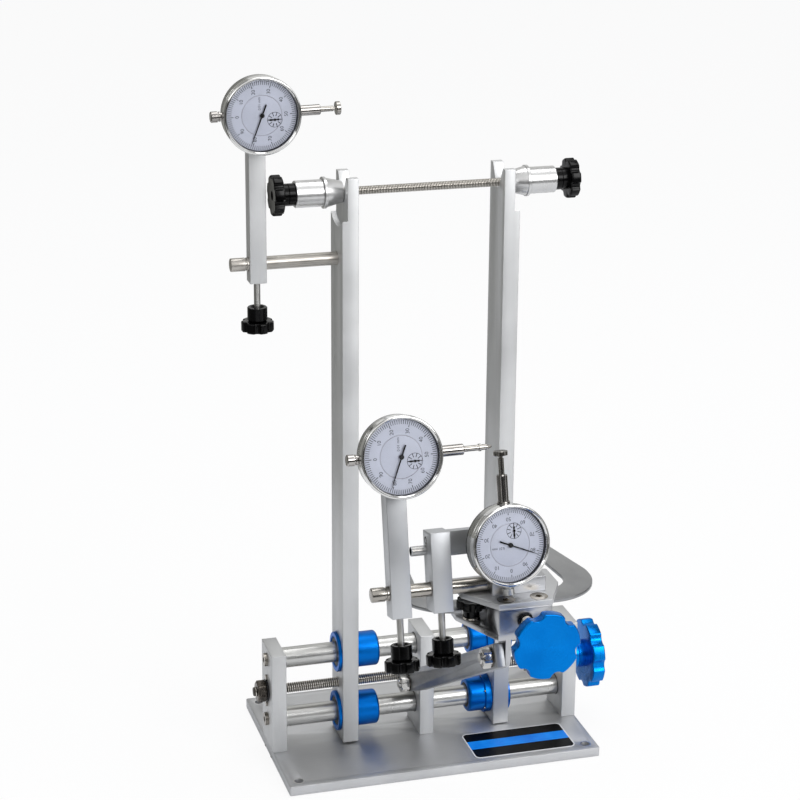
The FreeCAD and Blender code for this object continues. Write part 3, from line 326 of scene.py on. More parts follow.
# Surface of revolution. The profile holds (distance along the axis, radius) pairs, and an outline,
# if given, turns an angle and a radius into the radius that is used there.
def lathe(origin, axis, profile, segments=64, right=None, outline=None):
    right, up, axis = frameOf(axis, right)
    angle = np.linspace(0, 2 * math.pi, segments, endpoint=False)
    around = np.cos(angle)[:, None] * right + np.sin(angle)[:, None] * up
    rings = []
    for along, radius in profile:
        reach = np.full(segments, float(radius)) if outline is None else outline(angle, radius)
        rings.append((np.asarray(origin) + along * axis)[None, :] + reach[:, None] * around)
    points, faces = ringGrid(np.array(rings))
    steps = [0.0] + [math.dist(a, b) for a, b in zip(profile, profile[1:])]
    path = np.repeat(np.cumsum(steps), segments)
    share = np.tile(angle / (2 * math.pi), len(profile)) * 0.1 / mm  # a turn is 0.1 in the map
    return points, faces, np.stack([share, path], -1)


# The body that a node rides on.
def bodyOf(node):
    bodies = frame["record"]["behaviour"]["bodies"]
    return [body for body, members in bodies.items() if node in members][0]


# Puts a mesh on its body, smooth but for its sharp edges, with its material.
def putPiece(name, mesh, body, look, replaces, smoothAngle):
    mesh.polygons.foreach_set("use_smooth", [True] * len(mesh.polygons))
    mesh.set_sharp_from_angle(angle=math.radians(smoothAngle))
    mesh.materials.append(materials[look])
    piece = bpy.data.objects.new(name, mesh)
    bpy.context.scene.collection.objects.link(piece)
    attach(piece, body)
    if replaces:
        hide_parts(*replaces)


# One object from several (points, faces[, turned coordinates]) shapes, in millimetres.
def addPiece(name, shapes, body, look, replaces=(), smoothAngle=35.0, crest=None):
    points, faces, turned, start = [], [], [], 0
    for shape in shapes:
        points.append(np.asarray(shape[0], float))
        faces.extend([[int(i) + start for i in face] for face in shape[1]])
        turned.append(shape[2] if len(shape) > 2 else np.zeros((len(shape[0]), 2)))
        start += len(shape[0])
    points, turned = np.concatenate(points), np.concatenate(turned)
    mesh = bpy.data.meshes.new(name)
    mesh.from_pydata((points * mm).tolist(), [], faces)
    layer = mesh.uv_layers.new(name="turned")
    corners = np.empty(len(mesh.loops), np.int32)
    mesh.loops.foreach_get("vertex_index", corners)
    layer.data.foreach_set("uv", (turned[corners] * mm).ravel())
    if crest is not None:
        value = mesh.attributes.new("crest", "FLOAT", "POINT")
        value.data.foreach_set("value", np.asarray(crest, np.float32))
    shell = bmesh.new()
    shell.from_mesh(mesh)
    bmesh.ops.remove_doubles(shell, verts=shell.verts, dist=1e-7)
    bmesh.ops.recalc_face_normals(shell, faces=shell.faces)
    shell.to_mesh(mesh)
    shell.free()
    putPiece(name, mesh, body, look, replaces, smoothAngle)


# A node's own shape with its sharp edges broken by a small round, inside the node's own box. What
# turns by less than flat is one face, and by more than sharp is an edge, in degrees.
edging = {"merge": 2e-6, "flat": 0.5, "sharp": 40, "smooth": 32, "steps": 2}


def softEdges(node, width, look, largestOnly=False):
    shell = bmesh.new()
    shell.from_mesh(nodes[node].data)
    bmesh.ops.remove_doubles(shell, verts=shell.verts, dist=edging["merge"])
    bmesh.ops.dissolve_limit(shell, angle_limit=math.radians(edging["flat"]), verts=shell.verts,
                             edges=shell.edges)
    if largestOnly:
        keepLargest(shell)
    sharp = [edge for edge in shell.edges if len(edge.link_faces) == 2
             and edge.calc_face_angle(0.0) > math.radians(edging["sharp"])]
    bmesh.ops.bevel(shell, geom=sharp, offset=width * mm, segments=edging["steps"], profile=0.5,
                    affect="EDGES", clamp_overlap=False)
    lowest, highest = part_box(node)
    for vert in shell.verts:
        vert.co = [min(max(c, low), high) for c, low, high in zip(vert.co, lowest, highest)]
    mesh = bpy.data.meshes.new(node + "Edges")
    shell.to_mesh(mesh)
    shell.free()
    putPiece(node + "Edges", mesh, bodyOf(node), look, [node], edging["smooth"])


# Leaves only the island with the most room in its box.
def keepLargest(shell):
    left, islands = set(shell.verts), []
    while left:
        island, edge = set(), [left.pop()]
        while edge:
            vert = edge.pop()
            island.add(vert)
            for link in vert.link_edges:
                other = link.other_vert(vert)
                if other in left:
                    left.discard(other)
                    edge.append(other)
        islands.append(island)

    def room(island):
        places = np.array([vert.co for vert in island])
        return float(np.prod(np.ptp(places, axis=0)))
    largest = max(islands, key=room)
    bmesh.ops.delete(shell, geom=[vert for vert in shell.verts if vert not in largest],
                     context="VERTS")


# A node that keeps its own mesh gets its material.
def dress(node, look):
    mesh = nodes[node].data
    mesh.materials.clear()
    mesh.materials.append(materials[look])


# Screw thread: the radius rises and falls with the turn and the distance along the axis, and fades
# to the core at both ends. Past the flip distance the thread runs the other way.
def thread(origin, axis, length, look, flip=math.inf):
    right, up, axis = frameOf(axis)
    steps = int(round(length / look["pitch"] * look["perTurn"]))
    along = np.linspace(0, length, steps + 1)
    angle = np.linspace(0, 2 * math.pi, look["segments"], endpoint=False)
    hand = np.where(along < flip, 1.0, -1.0)
    phase = along[:, None] / look["pitch"] - hand[:, None] * angle[None, :] / (2 * math.pi)
    wave = 1 - np.abs(2 * (phase % 1.0) - 1)  # 0 in the root, 1 on the crest
    wave = np.clip(wave * 1.5 - 0.2, 0, 1)
    fade = np.clip(np.minimum(along, length - along) / look["pitch"], 0, 1)[:, None]
    radius = look["radius"] - look["depth"] * (1 - wave * fade)
    centre = np.asarray(origin)[None, None, :] + along[:, None, None] * axis
    rings = centre + radius[:, :, None] * (np.cos(angle)[None, :, None] * right
                                          + np.sin(angle)[None, :, None] * up)
    points, faces = ringGrid(rings)
    ends = [list(range(look["segments"]))[::-1],
            [steps * look["segments"] + i for i in range(look["segments"])]]
    faces = [list(face) for face in faces] + ends
    # crest value, 0.3 in the root to 0.7 on the crest: it paints the roots dark as shade and the
    # crests light as a highlight
    return (points, faces), (wave * fade * 0.4 + 0.3).ravel()


# Outline of a star knob: round notches in a disc, to a third of its radius. A soft minimum,
# -ease ln(exp(-a / ease) + exp(-b / ease)), rounds the corners between disc and notch.
def lobes(look):
    reach = look["radius"] + look["notch"] - look["cut"]
    deep, ease = look["radius"] * 0.35, 0.45

    def outline(angle, radius):
        inset = look["radius"] - radius
        if inset > deep:
            return np.full(len(angle), float(radius))
        spacing = 2 * math.pi / look["lobes"]
        away = angle % spacing - spacing / 2
        sideways = reach * np.sin(away)
        inside = np.clip(look["notch"] ** 2 - sideways ** 2, 0, None)
        edge = np.where(np.abs(sideways) < look["notch"],
                        reach * np.cos(away) - np.sqrt(inside), 99.0)  # 99: no notch here
        eased = -ease * np.log(np.exp(-look["radius"] / ease) + np.exp(-edge / ease))
        fade = np.clip(1 - inset / deep, 0, 1)
        return radius - (look["radius"] - eased) * fade
    return outline


# Head of a star knob from its back face: eased rims, and a shallow dish in front.
def starKnob(look, origin, axis, right):
    turn = math.pi / look["lobes"]
    right = unit(right)
    up = np.cross(unit(axis), right)
    right = math.cos(turn) * right + math.sin(turn) * up
    radius, deep, ease = look["radius"], look["thickness"], look["ease"]
    profile = [(0.0, look["bore"]), (0.0, radius * 0.62), (0.0, radius - ease)]
    profile += [(ease * (1 - math.cos(a)), radius - ease * (1 - math.sin(a)))
                for a in np.linspace(0.35, math.pi / 2, 4)]
    profile += [(deep - ease * (1 - math.sin(a)), radius - ease * (1 - math.cos(a)))
                for a in np.linspace(0.0, math.pi / 2, 5)]
    through = look.get("through", 0.0)  # radius of a hole right through the knob
    profile += [(deep - 0.05, radius * 0.86), (deep - look["dish"] * 0.6, radius * 0.7),
                (deep - look["dish"], radius * 0.45), (deep - look["dish"], through)]
    if through:
        profile.append((0.0, through))
    return lathe(origin, axis, profile, look["lobes"] * 28, right, lobes(look))


# A star knob on its hub: the hub starts at the origin, and the star sits on its far end.
def hubbedKnob(name, look, origin, axis, right, body, material, node, segments=64):
    top = np.asarray(origin, float) + max(along for along, radius in look["hub"]) * axis
    addPiece(name, [starKnob(look, top, axis, right), lathe(origin, axis, look["hub"], segments)],
             body, material, [node])


# Hexagon nut: its corners fall away on a cone at both ends, and its hole is countersunk.
def hexNut(origin, axis, flats, height, hole, turn):
    inner = flats / 2

    def outline(angle, radius):
        if radius < inner * 0.98:
            return np.full(len(angle), float(radius))
        away = (angle + turn) % (math.pi / 3) - math.pi / 6
        corner = inner / np.cos(away)
        return np.minimum(corner, radius)
    widest = inner / math.cos(math.pi / 6)
    drop = (widest - inner) * 0.6
    profile = [(0.4, hole), (0.0, hole + 0.5), (0.0, inner * 0.97), (drop, widest),
               (height - drop, widest), (height, inner * 0.97), (height, hole + 0.5),
               (height - 0.4, hole)]
    return lathe(origin, axis, profile + [profile[0]], 72, None, outline)


# Washer, ring or plug with eased rims.
def disc(origin, axis, radius, hole, thickness, ease=0.25, segments=48):
    profile = [(0.0, hole), (0.0, radius - ease), (ease, radius), (thickness - ease, radius),
               (thickness, radius - ease), (thickness, hole)]
    return lathe(origin, axis, profile + [profile[0]], segments)


print("helpers ready")


# sawn plates and bars by material, with the width of the round on each edge
edged = {"plateAluminium": {"base_plate": 0.45, "carriage_top_plate": 0.35},
         "barAluminium": {"end_bracket_left": 0.35, "end_bracket_right": 0.35,
                          "centre_bracket": 0.35, "upright_left": 0.35, "upright_right": 0.35,
                          "hub_gauge_arm": 0.4},
         # the leaning bars and the swing arm take aluminium painted darker, as painted shade
         "shadedLeanedBar": {"lateral_arm": 0.4, "radial_bracket": 0.35}, "shadedArmPlate": {"swing_arm": 1.0},
         "milledAluminium": {"rod_block": 0.35, "carriage_body": 0.3},
         "horseshoePlate": {"horseshoe": 0.3}}
for look, widths in edged.items():
    for node, width in widths.items():
        softEdges(node, width, look, largestOnly=node == "radial_bracket")
dressed = {"groundRod": ("guide_rod_upper", "guide_rod_lower"),
           "zincSteel": ("frame_screws", "bush_screws", "plate_screws")}
for look, members in dressed.items():
    for node in members:
        dress(node, look)

stand = {"y": -2.8, "bracketFace": 125.0, "rodZ": (79.8, 28.9), "rodRadius": 8.0, "screwZ": 53.4,
         "screwStart": -136.0, "screwPast": 16.0, "upright": 55.75}

# ring of shadow and sealant where each rod enters its bracket, by place and way that it faces
seat = {"faces": ((-113.5, 1), (113.5, -1), (-5.75, -1), (5.75, 1)), "over": 0.55, "under": 0.2,
        "thick": 0.25, "ease": 0.1}
addPiece("rodSeatRings", [disc((x, stand["y"], z), (way, 0, 0), stand["rodRadius"] + seat["over"],
                               stand["rodRadius"] - seat["under"], seat["thick"], seat["ease"], 64)
                          for z in stand["rodZ"] for x, way in seat["faces"]], "stand", "seal")

# flat light ring at the mouth of each hole in the base: a painted highlight where a chamfer would
# catch the light
holes = {"x": 116.0, "y": 69.5, "hole": 3.5, "rim": 4.4, "top": 7.48, "thick": 0.06, "ease": 0.02}
addPiece("holeHighlightRims", [disc((x, y, holes["top"]), (0, 0, 1), holes["rim"], holes["hole"],
                           holes["thick"], holes["ease"])
                      for x in (-holes["x"], holes["x"]) for y in (-holes["y"], holes["y"])],
         "stand", "turnedAluminium")

# label at the front right corner of the base: black ground, blue band, light rim, all bare
label = {"x": (25.5, 108.0), "y": (-71.0, -30.0), "z": 7.5, "corner": 4.5, "rim": 0.9,
         "thick": 0.18, "band": (-56.5, -43.5), "ground": 0.05, "ink": 0.03}


# Flat plate with rounded corners: its outline at two heights, and a face on each.
def roundedPlate(x, y, bottom, top, corner, steps=8):
    ring = []
    for cx, cy, start in ((x[1] - corner, y[1] - corner, 0), (x[0] + corner, y[1] - corner, 90),
                          (x[0] + corner, y[0] + corner, 180), (x[1] - corner, y[0] + corner, 270)):
        for a in np.radians(np.linspace(start, start + 90, steps + 1)):
            ring.append((cx + corner * math.cos(a), cy + corner * math.sin(a)))
    count = len(ring)
    points = [(px, py, z) for z in (bottom, top) for px, py in ring]
    faces = [[i, (i + 1) % count, count + (i + 1) % count, count + i] for i in range(count)]
    return points, faces + [list(range(count))[::-1], [count + i for i in range(count)]]


rim, corner = label["rim"], label["corner"]
inner = [(low + rim, high - rim) for low, high in (label["x"], label["y"])]
film = label["z"] + label["thick"]
ink = film + label["ground"]
addPiece("labelRim", [roundedPlate(label["x"], label["y"], label["z"], film, corner)], "stand",
         "labelRim")
addPiece("labelGround", [roundedPlate(*inner, film, ink, corner - rim)], "stand", "labelBlack")
addPiece("labelBand", [roundedPlate(inner[0], label["band"], ink, ink + label["ink"], 0.02, 1)],
         "stand", "labelBlue")
print("stand dressed")

# lead screw, its nut and the big knob
leadThread = {"pitch": 1.7, "perTurn": 12, "segments": 40, "radius": 4.0, "depth": 0.6}
shape, crest = thread((stand["screwStart"], stand["y"], stand["screwZ"]), (1, 0, 0),
                      stand["bracketFace"] + stand["screwPast"] - stand["screwStart"], leadThread,
                      flip=-stand["screwStart"])
addPiece("leadScrew", [shape], "lead_screw", "thread", ["lead_screw"], 80.0, crest)
endNut = {"flats": 15.0, "height": 7.2, "hole": 3.6, "turn": 0.2, "washer": 8.9, "washerHole": 4.0,
          "washerThick": 1.2, "gap": 0.2}
washerX = -stand["bracketFace"] - endNut["gap"]
washerPlace = (washerX, stand["y"], stand["screwZ"])
addPiece("leadScrewNut", [hexNut((washerX - endNut["washerThick"], *washerPlace[1:]), (-1, 0, 0),
                                 endNut["flats"], endNut["height"], endNut["hole"],
                                 endNut["turn"])],
         "lead_screw", "agedSteel", ["lead_screw_nut"])
addPiece("leadScrewWasher", [disc(washerPlace, (-1, 0, 0), endNut["washer"], endNut["washerHole"],
                                  endNut["washerThick"])], "lead_screw", "seal")

bigKnob = {"radius": 27.5, "lobes": 8, "thickness": 10.0, "notch": 6.0, "cut": 2.8, "ease": 0.9,
           "dish": 0.5, "bore": 4.0, "gap": 0.2,
           "hub": [(0.0, 4.0), (0.0, 10.2), (0.8, 11.0), (5.0, 11.0), (5.4, 10.5), (5.8, 11.0),
                   (11.4, 11.0)]}
hubbedKnob("spindleKnob", bigKnob, (stand["bracketFace"] + bigKnob["gap"], stand["y"],
                                    stand["screwZ"]), np.array((1, 0, 0)), (0, 0, -1),
           "lead_screw", "blueKnob", "spindle_knob")
print("lead screw done")

# four blue bushes; those on the right have a flange
barrel = {"outer": 68.25, "reach": 18.6, "radius": 13.8, "round": 2.2, "behind": -6.2,
          "through": 12.5, "collar": 15.8, "collarThick": 2.5, "flange": 15.5, "flangeThick": 5.5,
          "bore": 8.1, "lip": 1.9}
radius, reach, bore = barrel["radius"], barrel["reach"], barrel["bore"]
flange, flangeThick = barrel["flange"], barrel["flangeThick"]
collar, collarThick = barrel["collar"], barrel["collarThick"]
nose = [(reach - barrel["round"] * (1 - math.sin(a)), radius - barrel["round"] * (1 - math.cos(a)))
        for a in np.linspace(0, math.pi / 2, 6)]
nose += [(reach, bore + barrel["lip"]), (reach - 0.5, bore + barrel["lip"]), (reach - 0.5, bore),
         (barrel["behind"], bore)]
flanges = {"left": [], "right": [(0.0, flange - 0.4), (0.4, flange), (flangeThick - 0.5, flange),
                                 (flangeThick, flange - 0.5), (flangeThick, radius + 0.1)]}
rimmed = [(0.0, bore), (0.0, collar - 0.2), (0.2, collar), (collarThick - 0.5, collar),
          (collarThick, collar - 0.5), (collarThick, 12.4), (collarThick - 0.9, 11.9),
          (collarThick - 0.9, bore)]
for side, way in (("left", -1), ("right", 1)):
    shapes, seals = [], []
    toward, away = (-way, 0, 0), (way, 0, 0)  # to the middle of the stand, and from it
    face, out = way * stand["upright"], way * barrel["outer"]
    for z in stand["rodZ"]:
        start = (face, stand["y"], z)
        sleeve = [(barrel["behind"], radius), (0.0, radius)] + flanges[side] + nose
        shapes += [lathe(start, toward, sleeve), lathe((out, stand["y"], z), away, rimmed),
                   lathe(start, away, [(0.0, radius), (barrel["through"], radius)])]
        seals += [disc((face - way * (reach - 0.7), stand["y"], z), toward, bore + 1.85,
                       bore - 0.02, 0.75, 0.3, 56),
                  disc((out + way * (collarThick - 1.6), stand["y"], z), away, 11.6, bore - 0.02,
                       1.0, 0.3, 56)]
    addPiece("bushBarrels" + side.title(), shapes, side + "_upright", "blueBarrel",
             ["bushes_" + side], 40.0)
    addPiece("bushSeals" + side.title(), seals, side + "_upright", "seal")
print("bushes done")

# axle clamps: cone, ring and sleeve, and a bored knob behind
clamp = {"tip": 64.35, "axis": (-2.8, 448.7), "bore": 3.25, "tipRadius": 8.0, "rootRadius": 11.0,
         "cone": 12.5, "ring": 2.3, "ringRadius": 11.75, "sleeve": 21.0, "sleeveRadius": 10.0}
clampKnob = {"radius": 15.0, "lobes": 7, "thickness": 7.5, "notch": 3.2, "cut": 2.2, "ease": 1.2,
             "dish": 0.6, "bore": 3.5, "through": 3.5,
             "hub": [(0.0, 3.5), (0.0, 7.8), (0.4, 8.25), (4.6, 8.25), (4.9, 7.95), (5.2, 8.25),
                     (9.5, 8.25), (9.5, 3.5), (0.0, 3.5)]}
cone, bore, sleeveRadius = clamp["cone"], clamp["bore"], clamp["sleeveRadius"]
ringEnd = cone + clamp["ring"]
end = ringEnd + clamp["sleeve"]
profile = [(0.6, bore), (0.0, bore + 0.6), (0.0, clamp["tipRadius"] - 0.3),
           (0.3, clamp["tipRadius"]), (cone, clamp["rootRadius"]),
           (cone, clamp["ringRadius"] - 0.2),
           (cone + 0.2, clamp["ringRadius"]), (ringEnd - 0.2, clamp["ringRadius"]),
           (ringEnd, clamp["ringRadius"] - 0.2), (ringEnd, sleeveRadius - 0.4),
           (ringEnd + 0.5, sleeveRadius), (end - 0.5, sleeveRadius), (end, sleeveRadius - 0.5),
           (end, bore), (0.6, bore)]
for side, way in (("left", -1), ("right", 1)):
    along = np.array((way, 0, 0))
    start = np.array((way * clamp["tip"], *clamp["axis"]))
    addPiece("clampSleeve" + side.title(), [lathe(start, along, profile, 80)], side + "_clamp",
             "turnedAluminium", ["clamp_sleeve_" + side])
    hubbedKnob("clampKnob" + side.title(), clampKnob, start + along * end, along, (0, 0, 1),
               side + "_clamp_knob", "blackPlastic", "clamp_knob_" + side, 56)
axleThread = {"pitch": 1.2, "perTurn": 12, "segments": 32, "radius": 3.2, "depth": 0.4,
              "half": 107.0}
shape, crest = thread((-axleThread["half"], *clamp["axis"]), (1, 0, 0), 2 * axleThread["half"],
                      axleThread)
addPiece("axleRod", [shape], "axle_rod", "thread", ["axle_rod"], 80.0, crest)
print("clamps done")

# knobs of the gauge arms, hanging under them on their bright screws
armKnob = {"radius": 12.1, "lobes": 7, "thickness": 7.8, "notch": 2.8, "cut": 1.9, "ease": 1.2,
           "dish": 0.5, "bore": 0.0, "gap": 19.0, "pin": 2.4, "inside": 3.0,
           "hub": [(0.0, 6.4), (1.2, 7.4), (10.0, 7.4), (10.5, 6.9), (10.5, 5.2), (8.3, 3.0)]}
# by arm: x and y, lower end of the arm, tip of the screw, and whether the arm leans
armScrews = {"hub": (-128.6, -2.8, 384.7, 393.3, False),
             "lateral": (-80.6, -217.0, 204.9, 216.4, True),
             "radial": (-51.2, -217.0, 205.9, 216.4, True)}
for name, (x, y, armEnd, tip, leaning) in armScrews.items():
    moved, turned = (leanPoint, leanWay) if leaning else (np.array, np.array)
    hubTop = armEnd - armKnob["gap"]
    down = turned((0.0, 0.0, -1.0))
    starTop = moved((x, y, hubTop - armKnob["hub"][3][0]))
    addPiece(name + "ArmKnob", [starKnob(armKnob, starTop, down, (1, 0, 0)),
                                lathe(starTop, -down, armKnob["hub"], 56)], name + "_arm_knob",
             "blackPlastic", [name + "_arm_knob"])
    reach, pin = tip - hubTop + armKnob["inside"], armKnob["pin"]
    rod = [(0.0, pin), (reach - 0.5, pin), (reach, pin - 0.5), (reach, 0.0)]
    addPiece(name + "ArmKnobScrew", [lathe(moved((x, y, hubTop - armKnob["inside"])), -down, rod,
                                           40)], name + "_arm_knob", "pinSteel")
print("arm knobs done")


# rods that carry the gauges, with a neck near the end
def neckedRod(x0, neck0, neck1, x1, radius, root, y, z):
    profile = [(0.0, 0.0), (0.0, radius - 0.7), (0.2, radius - 0.2), (0.7, radius),
               (neck0 - x0 - 0.2, radius), (neck0 - x0, radius - 0.2), (neck0 - x0, root),
               (neck1 - x0, root), (neck1 - x0, radius - 0.2), (neck1 - x0 + 0.2, radius),
               (x1 - x0, radius), (x1 - x0, 0.0)]
    return lathe((x0, y, z), (1, 0, 0), profile, 64)


# ends and neck along x, radius, radius in the neck, then y and z
addPiece("hubGaugeRod", [neckedRod(-148.4, -137.5, -136.5, -stand["upright"], 5.0, 4.2, stand["y"],
                                   398.6)], "left_upright", "dullRod", ["hub_gauge_rod"])
addPiece("gaugeRod", [neckedRod(-100.0, -90.7, -89.5, -17.3, 5.0, 4.1, gaugeRod["y"],
                                gaugeRod["z"])], "carriage", "gaugeRodSteel", ["gauge_rod"])

# pivots of the swing arm: nut, washer and stud end on the left, shank through the arm
pivots = {"face": -13.6, "shank": 3.95, "washer": 7.2, "hole": 4.0, "thick": 0.45, "flats": 13.0,
          "height": 6.6, "nutHole": 3.9}
shank = pivots["shank"]
studEnd = [(-8.0, shank), (1.0, shank), (1.5, shank - 0.5), (1.5, 0.0)]
for body, node, where, turn, depth in (("stand", "arm_pivot_bolt", (-14.4, 51.6), 0.35, 24),
                                       ("carriage", "carriage_pivot_bolt", (-216.61, 165.31), 0.1,
                                        17.4)):
    shapes = [hexNut((pivots["face"] - pivots["thick"], *where), (-1, 0, 0), pivots["flats"],
                     pivots["height"], pivots["nutHole"], turn),
              lathe((pivots["face"] - 7.0, *where), (-1, 0, 0), studEnd, 40)]
    if body == "stand":
        shapes.append(hexNut((5.75, *where), (1, 0, 0), 11.5, 4.8, 0.01, 0.35))  # bolt's head
    shapes.append(lathe((pivots["face"] - 6.0, *where), (1, 0, 0),
                        [(0, shank), (depth, shank), (depth, 0)], 40))
    addPiece("armPivotBolt" if body == "stand" else "carriagePivotBolt", shapes, body,
             "brightSteel", [node])
    addPiece(body + "PivotWasher", [disc((pivots["face"], *where), (-1, 0, 0), pivots["washer"],
                                         pivots["hole"], pivots["thick"], 0.12)], body, "agedSteel")

# small lock knob between the plates, with a steel ring and pin under it
lockKnob = {"radius": 10.5, "lobes": 7, "thickness": 6.0, "notch": 2.4, "cut": 1.7, "ease": 1.0,
            "dish": 0.5, "bore": 0.0, "seat": (-26.2, -209.8, 193.9),
            "hub": [(1.6, 5.5), (7.8, 5.9)],
            "pin": [(-1.0, 3.0), (5.2, 3.0), (5.7, 2.5), (5.7, 0.0)]}
hubbedKnob("lockKnob", lockKnob, lockKnob["seat"], np.array((0, 0, 1)), (1, 0, 0), "lock_knob",
           "blackPlastic", "lock_knob", 48)
addPiece("lockKnobRing", [disc(lockKnob["seat"], (0, 0, 1), 6.2, 3.0, 1.6, 0.2),
                          lathe(lockKnob["seat"], (0, 0, -1), lockKnob["pin"], 40)], "lock_knob",
         "zincSteel")

# feed screw and its blue knob
feed = {"x": 1.8, "z": 203.0, "face": -288.0, "screwEnd": -180.5, "collar": -243.2}
feedThread = {"pitch": 1.0, "perTurn": 12, "segments": 40, "radius": 4.0, "depth": 0.4}
feedKnob = {"radius": 23.2, "lobes": 6, "thickness": 8.0, "notch": 5.2, "cut": 3.0, "ease": 0.8,
            "dish": 0.35, "bore": 4.0, "turn": 12.0,
            "hub": [(0.0, 4.0), (0.0, 8.3), (0.7, 9.0), (1.6, 9.0), (1.9, 8.7), (2.2, 9.0),
                    (20.0, 9.0)]}
thick, turn = feedKnob["thickness"], math.radians(feedKnob["turn"])
feedStart = feed["face"] + thick / 2
shape, crest = thread((feed["x"], feedStart, feed["z"]), (0, 1, 0), feed["screwEnd"] - feedStart,
                      feedThread)
addPiece("feedScrew", [shape], "feed", "thread", ["feed_screw"], 80.0, crest)
addPiece("feedCollar", [disc((feed["x"], feed["collar"], feed["z"]), (0, -1, 0), 5.2, 3.9, 2.0,
                             0.4)], "feed", "blackPlastic")
hubBack = feed["face"] + thick + feedKnob["hub"][-1][0]
addPiece("feedKnob", [starKnob(feedKnob, (feed["x"], feed["face"] + thick, feed["z"]), (0, -1, 0),
                               (math.cos(turn), 0, -math.sin(turn))),
                      lathe((feed["x"], hubBack, feed["z"]), (0, -1, 0), feedKnob["hub"])], "feed",
         "blueKnob", ["feed_knob"])
print("carriage and feed done")

# stud and grub screw in the radial arm's side
armStud = {"at": (-58.2, -209.6, 247.4), "grubAt": (-58.2, -213.0, 254.7),
           "stud": [(-4.0, 3.4), (9.9, 3.4), (10.5, 2.8), (10.5, 0.0)],
           "grub": [(0.0, 3.0), (0.4, 2.8), (0.4, 1.5), (-1.2, 1.4), (-1.2, 0.0)]}
addPiece("radialArmStud", [lathe(leanPoint(armStud["at"]), (-1, 0, 0), armStud["stud"], 40),
                           lathe(leanPoint(armStud["grubAt"]), (-1, 0, 0), armStud["grub"], 36)],
         "radial_arm", "zincSteel")


# dial gauges: radii and heights over the plunger's plane
gauge = {"bezel": 28.19, "front": 11.0, "lip": 1.3, "face": 6.7, "ink": 0.03, "ticks": 100,
         "tick": (21.9, 24.8), "longTick": 20.4, "tickWide": 0.38, "longWide": 0.5, "digitAt": 17.7,
         "digit": 2.7, "circle": 14.25, "smallAt": 10.0, "smallTurn": 21.0, "smallCircle": 5.2,
         "smallTick": 2.6, "handLength": 22.0, "handTail": 8.5, "smallHand": 5.0,
         "cup": [(5.6, 27.0), (5.6, 27.6), (-3.0, 27.6), (-3.2, 27.3), (-3.4, 27.3)],
         "gasket": [(-3.2, 27.2), (-3.3, 27.5), (-4.4, 27.5), (-4.5, 27.1)],
         "cover": [(-4.5, 27.2), (-4.8, 26.9), (-5.5, 26.2), (-5.5, 0.0)],
         "cap": [(26.0, 3.0), (28.6, 3.0), (28.8, 3.6), (29.8, 3.6), (30.0, 2.9), (30.7, 2.9),
                 (30.9, 4.0), (35.1, 4.0), (35.7, 3.4), (35.7, 0.0)]}
gaugePlaces = {
    # origin at the dial's axis in the plunger's plane, roll and turn of the dial, end of the stem,
    # end of the tip, whether it ends in a nib, turn of the long hand, height of the lug
    "hub": {"origin": (-128.6, -20.05, 513.0), "lean": False, "roll": 1.3, "turn": 0.0,
            "stem": 44.0, "tip": 58.6, "nib": False, "clock": -67.7, "body": "hub_arm", "lug": 5.5,
            "cap": "stemSteel"},
    "lateral": {"origin": (-80.6, -235.0, 317.9), "lean": True, "roll": 0.5, "turn": 0.0,
                "stem": 45.0, "tip": 64.8, "nib": True, "clock": -68.5,
                "body": "lateral_arm", "lug": 5.5, "cap": "stemSteel"},
    "radial": {"origin": (-8.9, -235.6, 251.5), "lean": True, "roll": 90.9, "turn": 6.5,
               "stem": 47.2, "tip": 63.5, "nib": False, "clock": -66.5,
               "body": "radial_arm", "lug": 14.8, "cap": "capAluminium"},
}


# Origin and axes of a gauge: across (to the stem), up in the dial's plane, and outwards.
def gaugeFrame(place):
    origin = np.array(place["origin"], float)
    roll, turn = math.radians(place["roll"]), math.radians(place["turn"])
    across = np.array((math.cos(roll), 0, math.sin(roll)))
    upward = np.array((-math.sin(roll), 0, math.cos(roll)))
    outward = np.array((0.0, -1.0, 0.0))
    aboutZ = np.array(((math.cos(turn), -math.sin(turn), 0), (math.sin(turn), math.cos(turn), 0),
                       (0, 0, 1)))
    axes = [aboutZ @ v for v in (across, upward, outward)]
    if place["lean"]:
        return leanPoint(origin), [leanWay(v) for v in axes]
    return origin, axes


# Places flat outlines of the dial's own plane, whose zero is opposite the stem.
def onDial(place, right, up):
    origin, (across, upward, outward) = gaugeFrame(place)
    right, up = np.asarray(right, float), np.asarray(up, float)
    return origin + np.multiply.outer(right, upward) - np.multiply.outer(up, across), outward


# Prisms over outlines in the dial's plane, between two heights over the plunger's plane.
def flatShape(place, outlines, low, high):
    points, faces, start = [], [], 0
    for outline in outlines:
        outline = np.asarray(outline, float)
        base, outward = onDial(place, outline[:, 0], outline[:, 1])
        count = len(outline)
        points.append(base + low * outward)
        points.append(base + high * outward)
        faces.append([start + i for i in range(count)][::-1])
        faces.append([start + count + i for i in range(count)])
        faces.extend([[start + i, start + (i + 1) % count, start + count + (i + 1) % count,
                       start + count + i] for i in range(count)])
        start += 2 * count
    return np.concatenate(points), faces


# A thin circle as short quads.
def ringOutlines(radius, width, centre=(0, 0), parts=72):
    outlines = []
    for i in range(parts):
        a0, a1 = 2 * math.pi * i / parts, 2 * math.pi * (i + 1) / parts
        outlines.append([(centre[0] + r * math.sin(a), centre[1] + r * math.cos(a))
                         for r, a in ((radius, a0), (radius, a1), (radius + width, a1),
                                      (radius + width, a0))])
    return outlines


# Strokes around a centre, between two radii.
def tickOutlines(count, inner, outer, width, centre=(0, 0)):
    outlines = []
    for i in range(count):
        a = 2 * math.pi * i / count
        radial = np.array((math.sin(a), math.cos(a)))
        side = np.array((math.cos(a), -math.sin(a))) * width / 2
        outlines.append([centre + radial * reach + way * side
                         for reach, way in ((inner, -1), (inner, 1), (outer, 1), (outer, -1))])
    return outlines


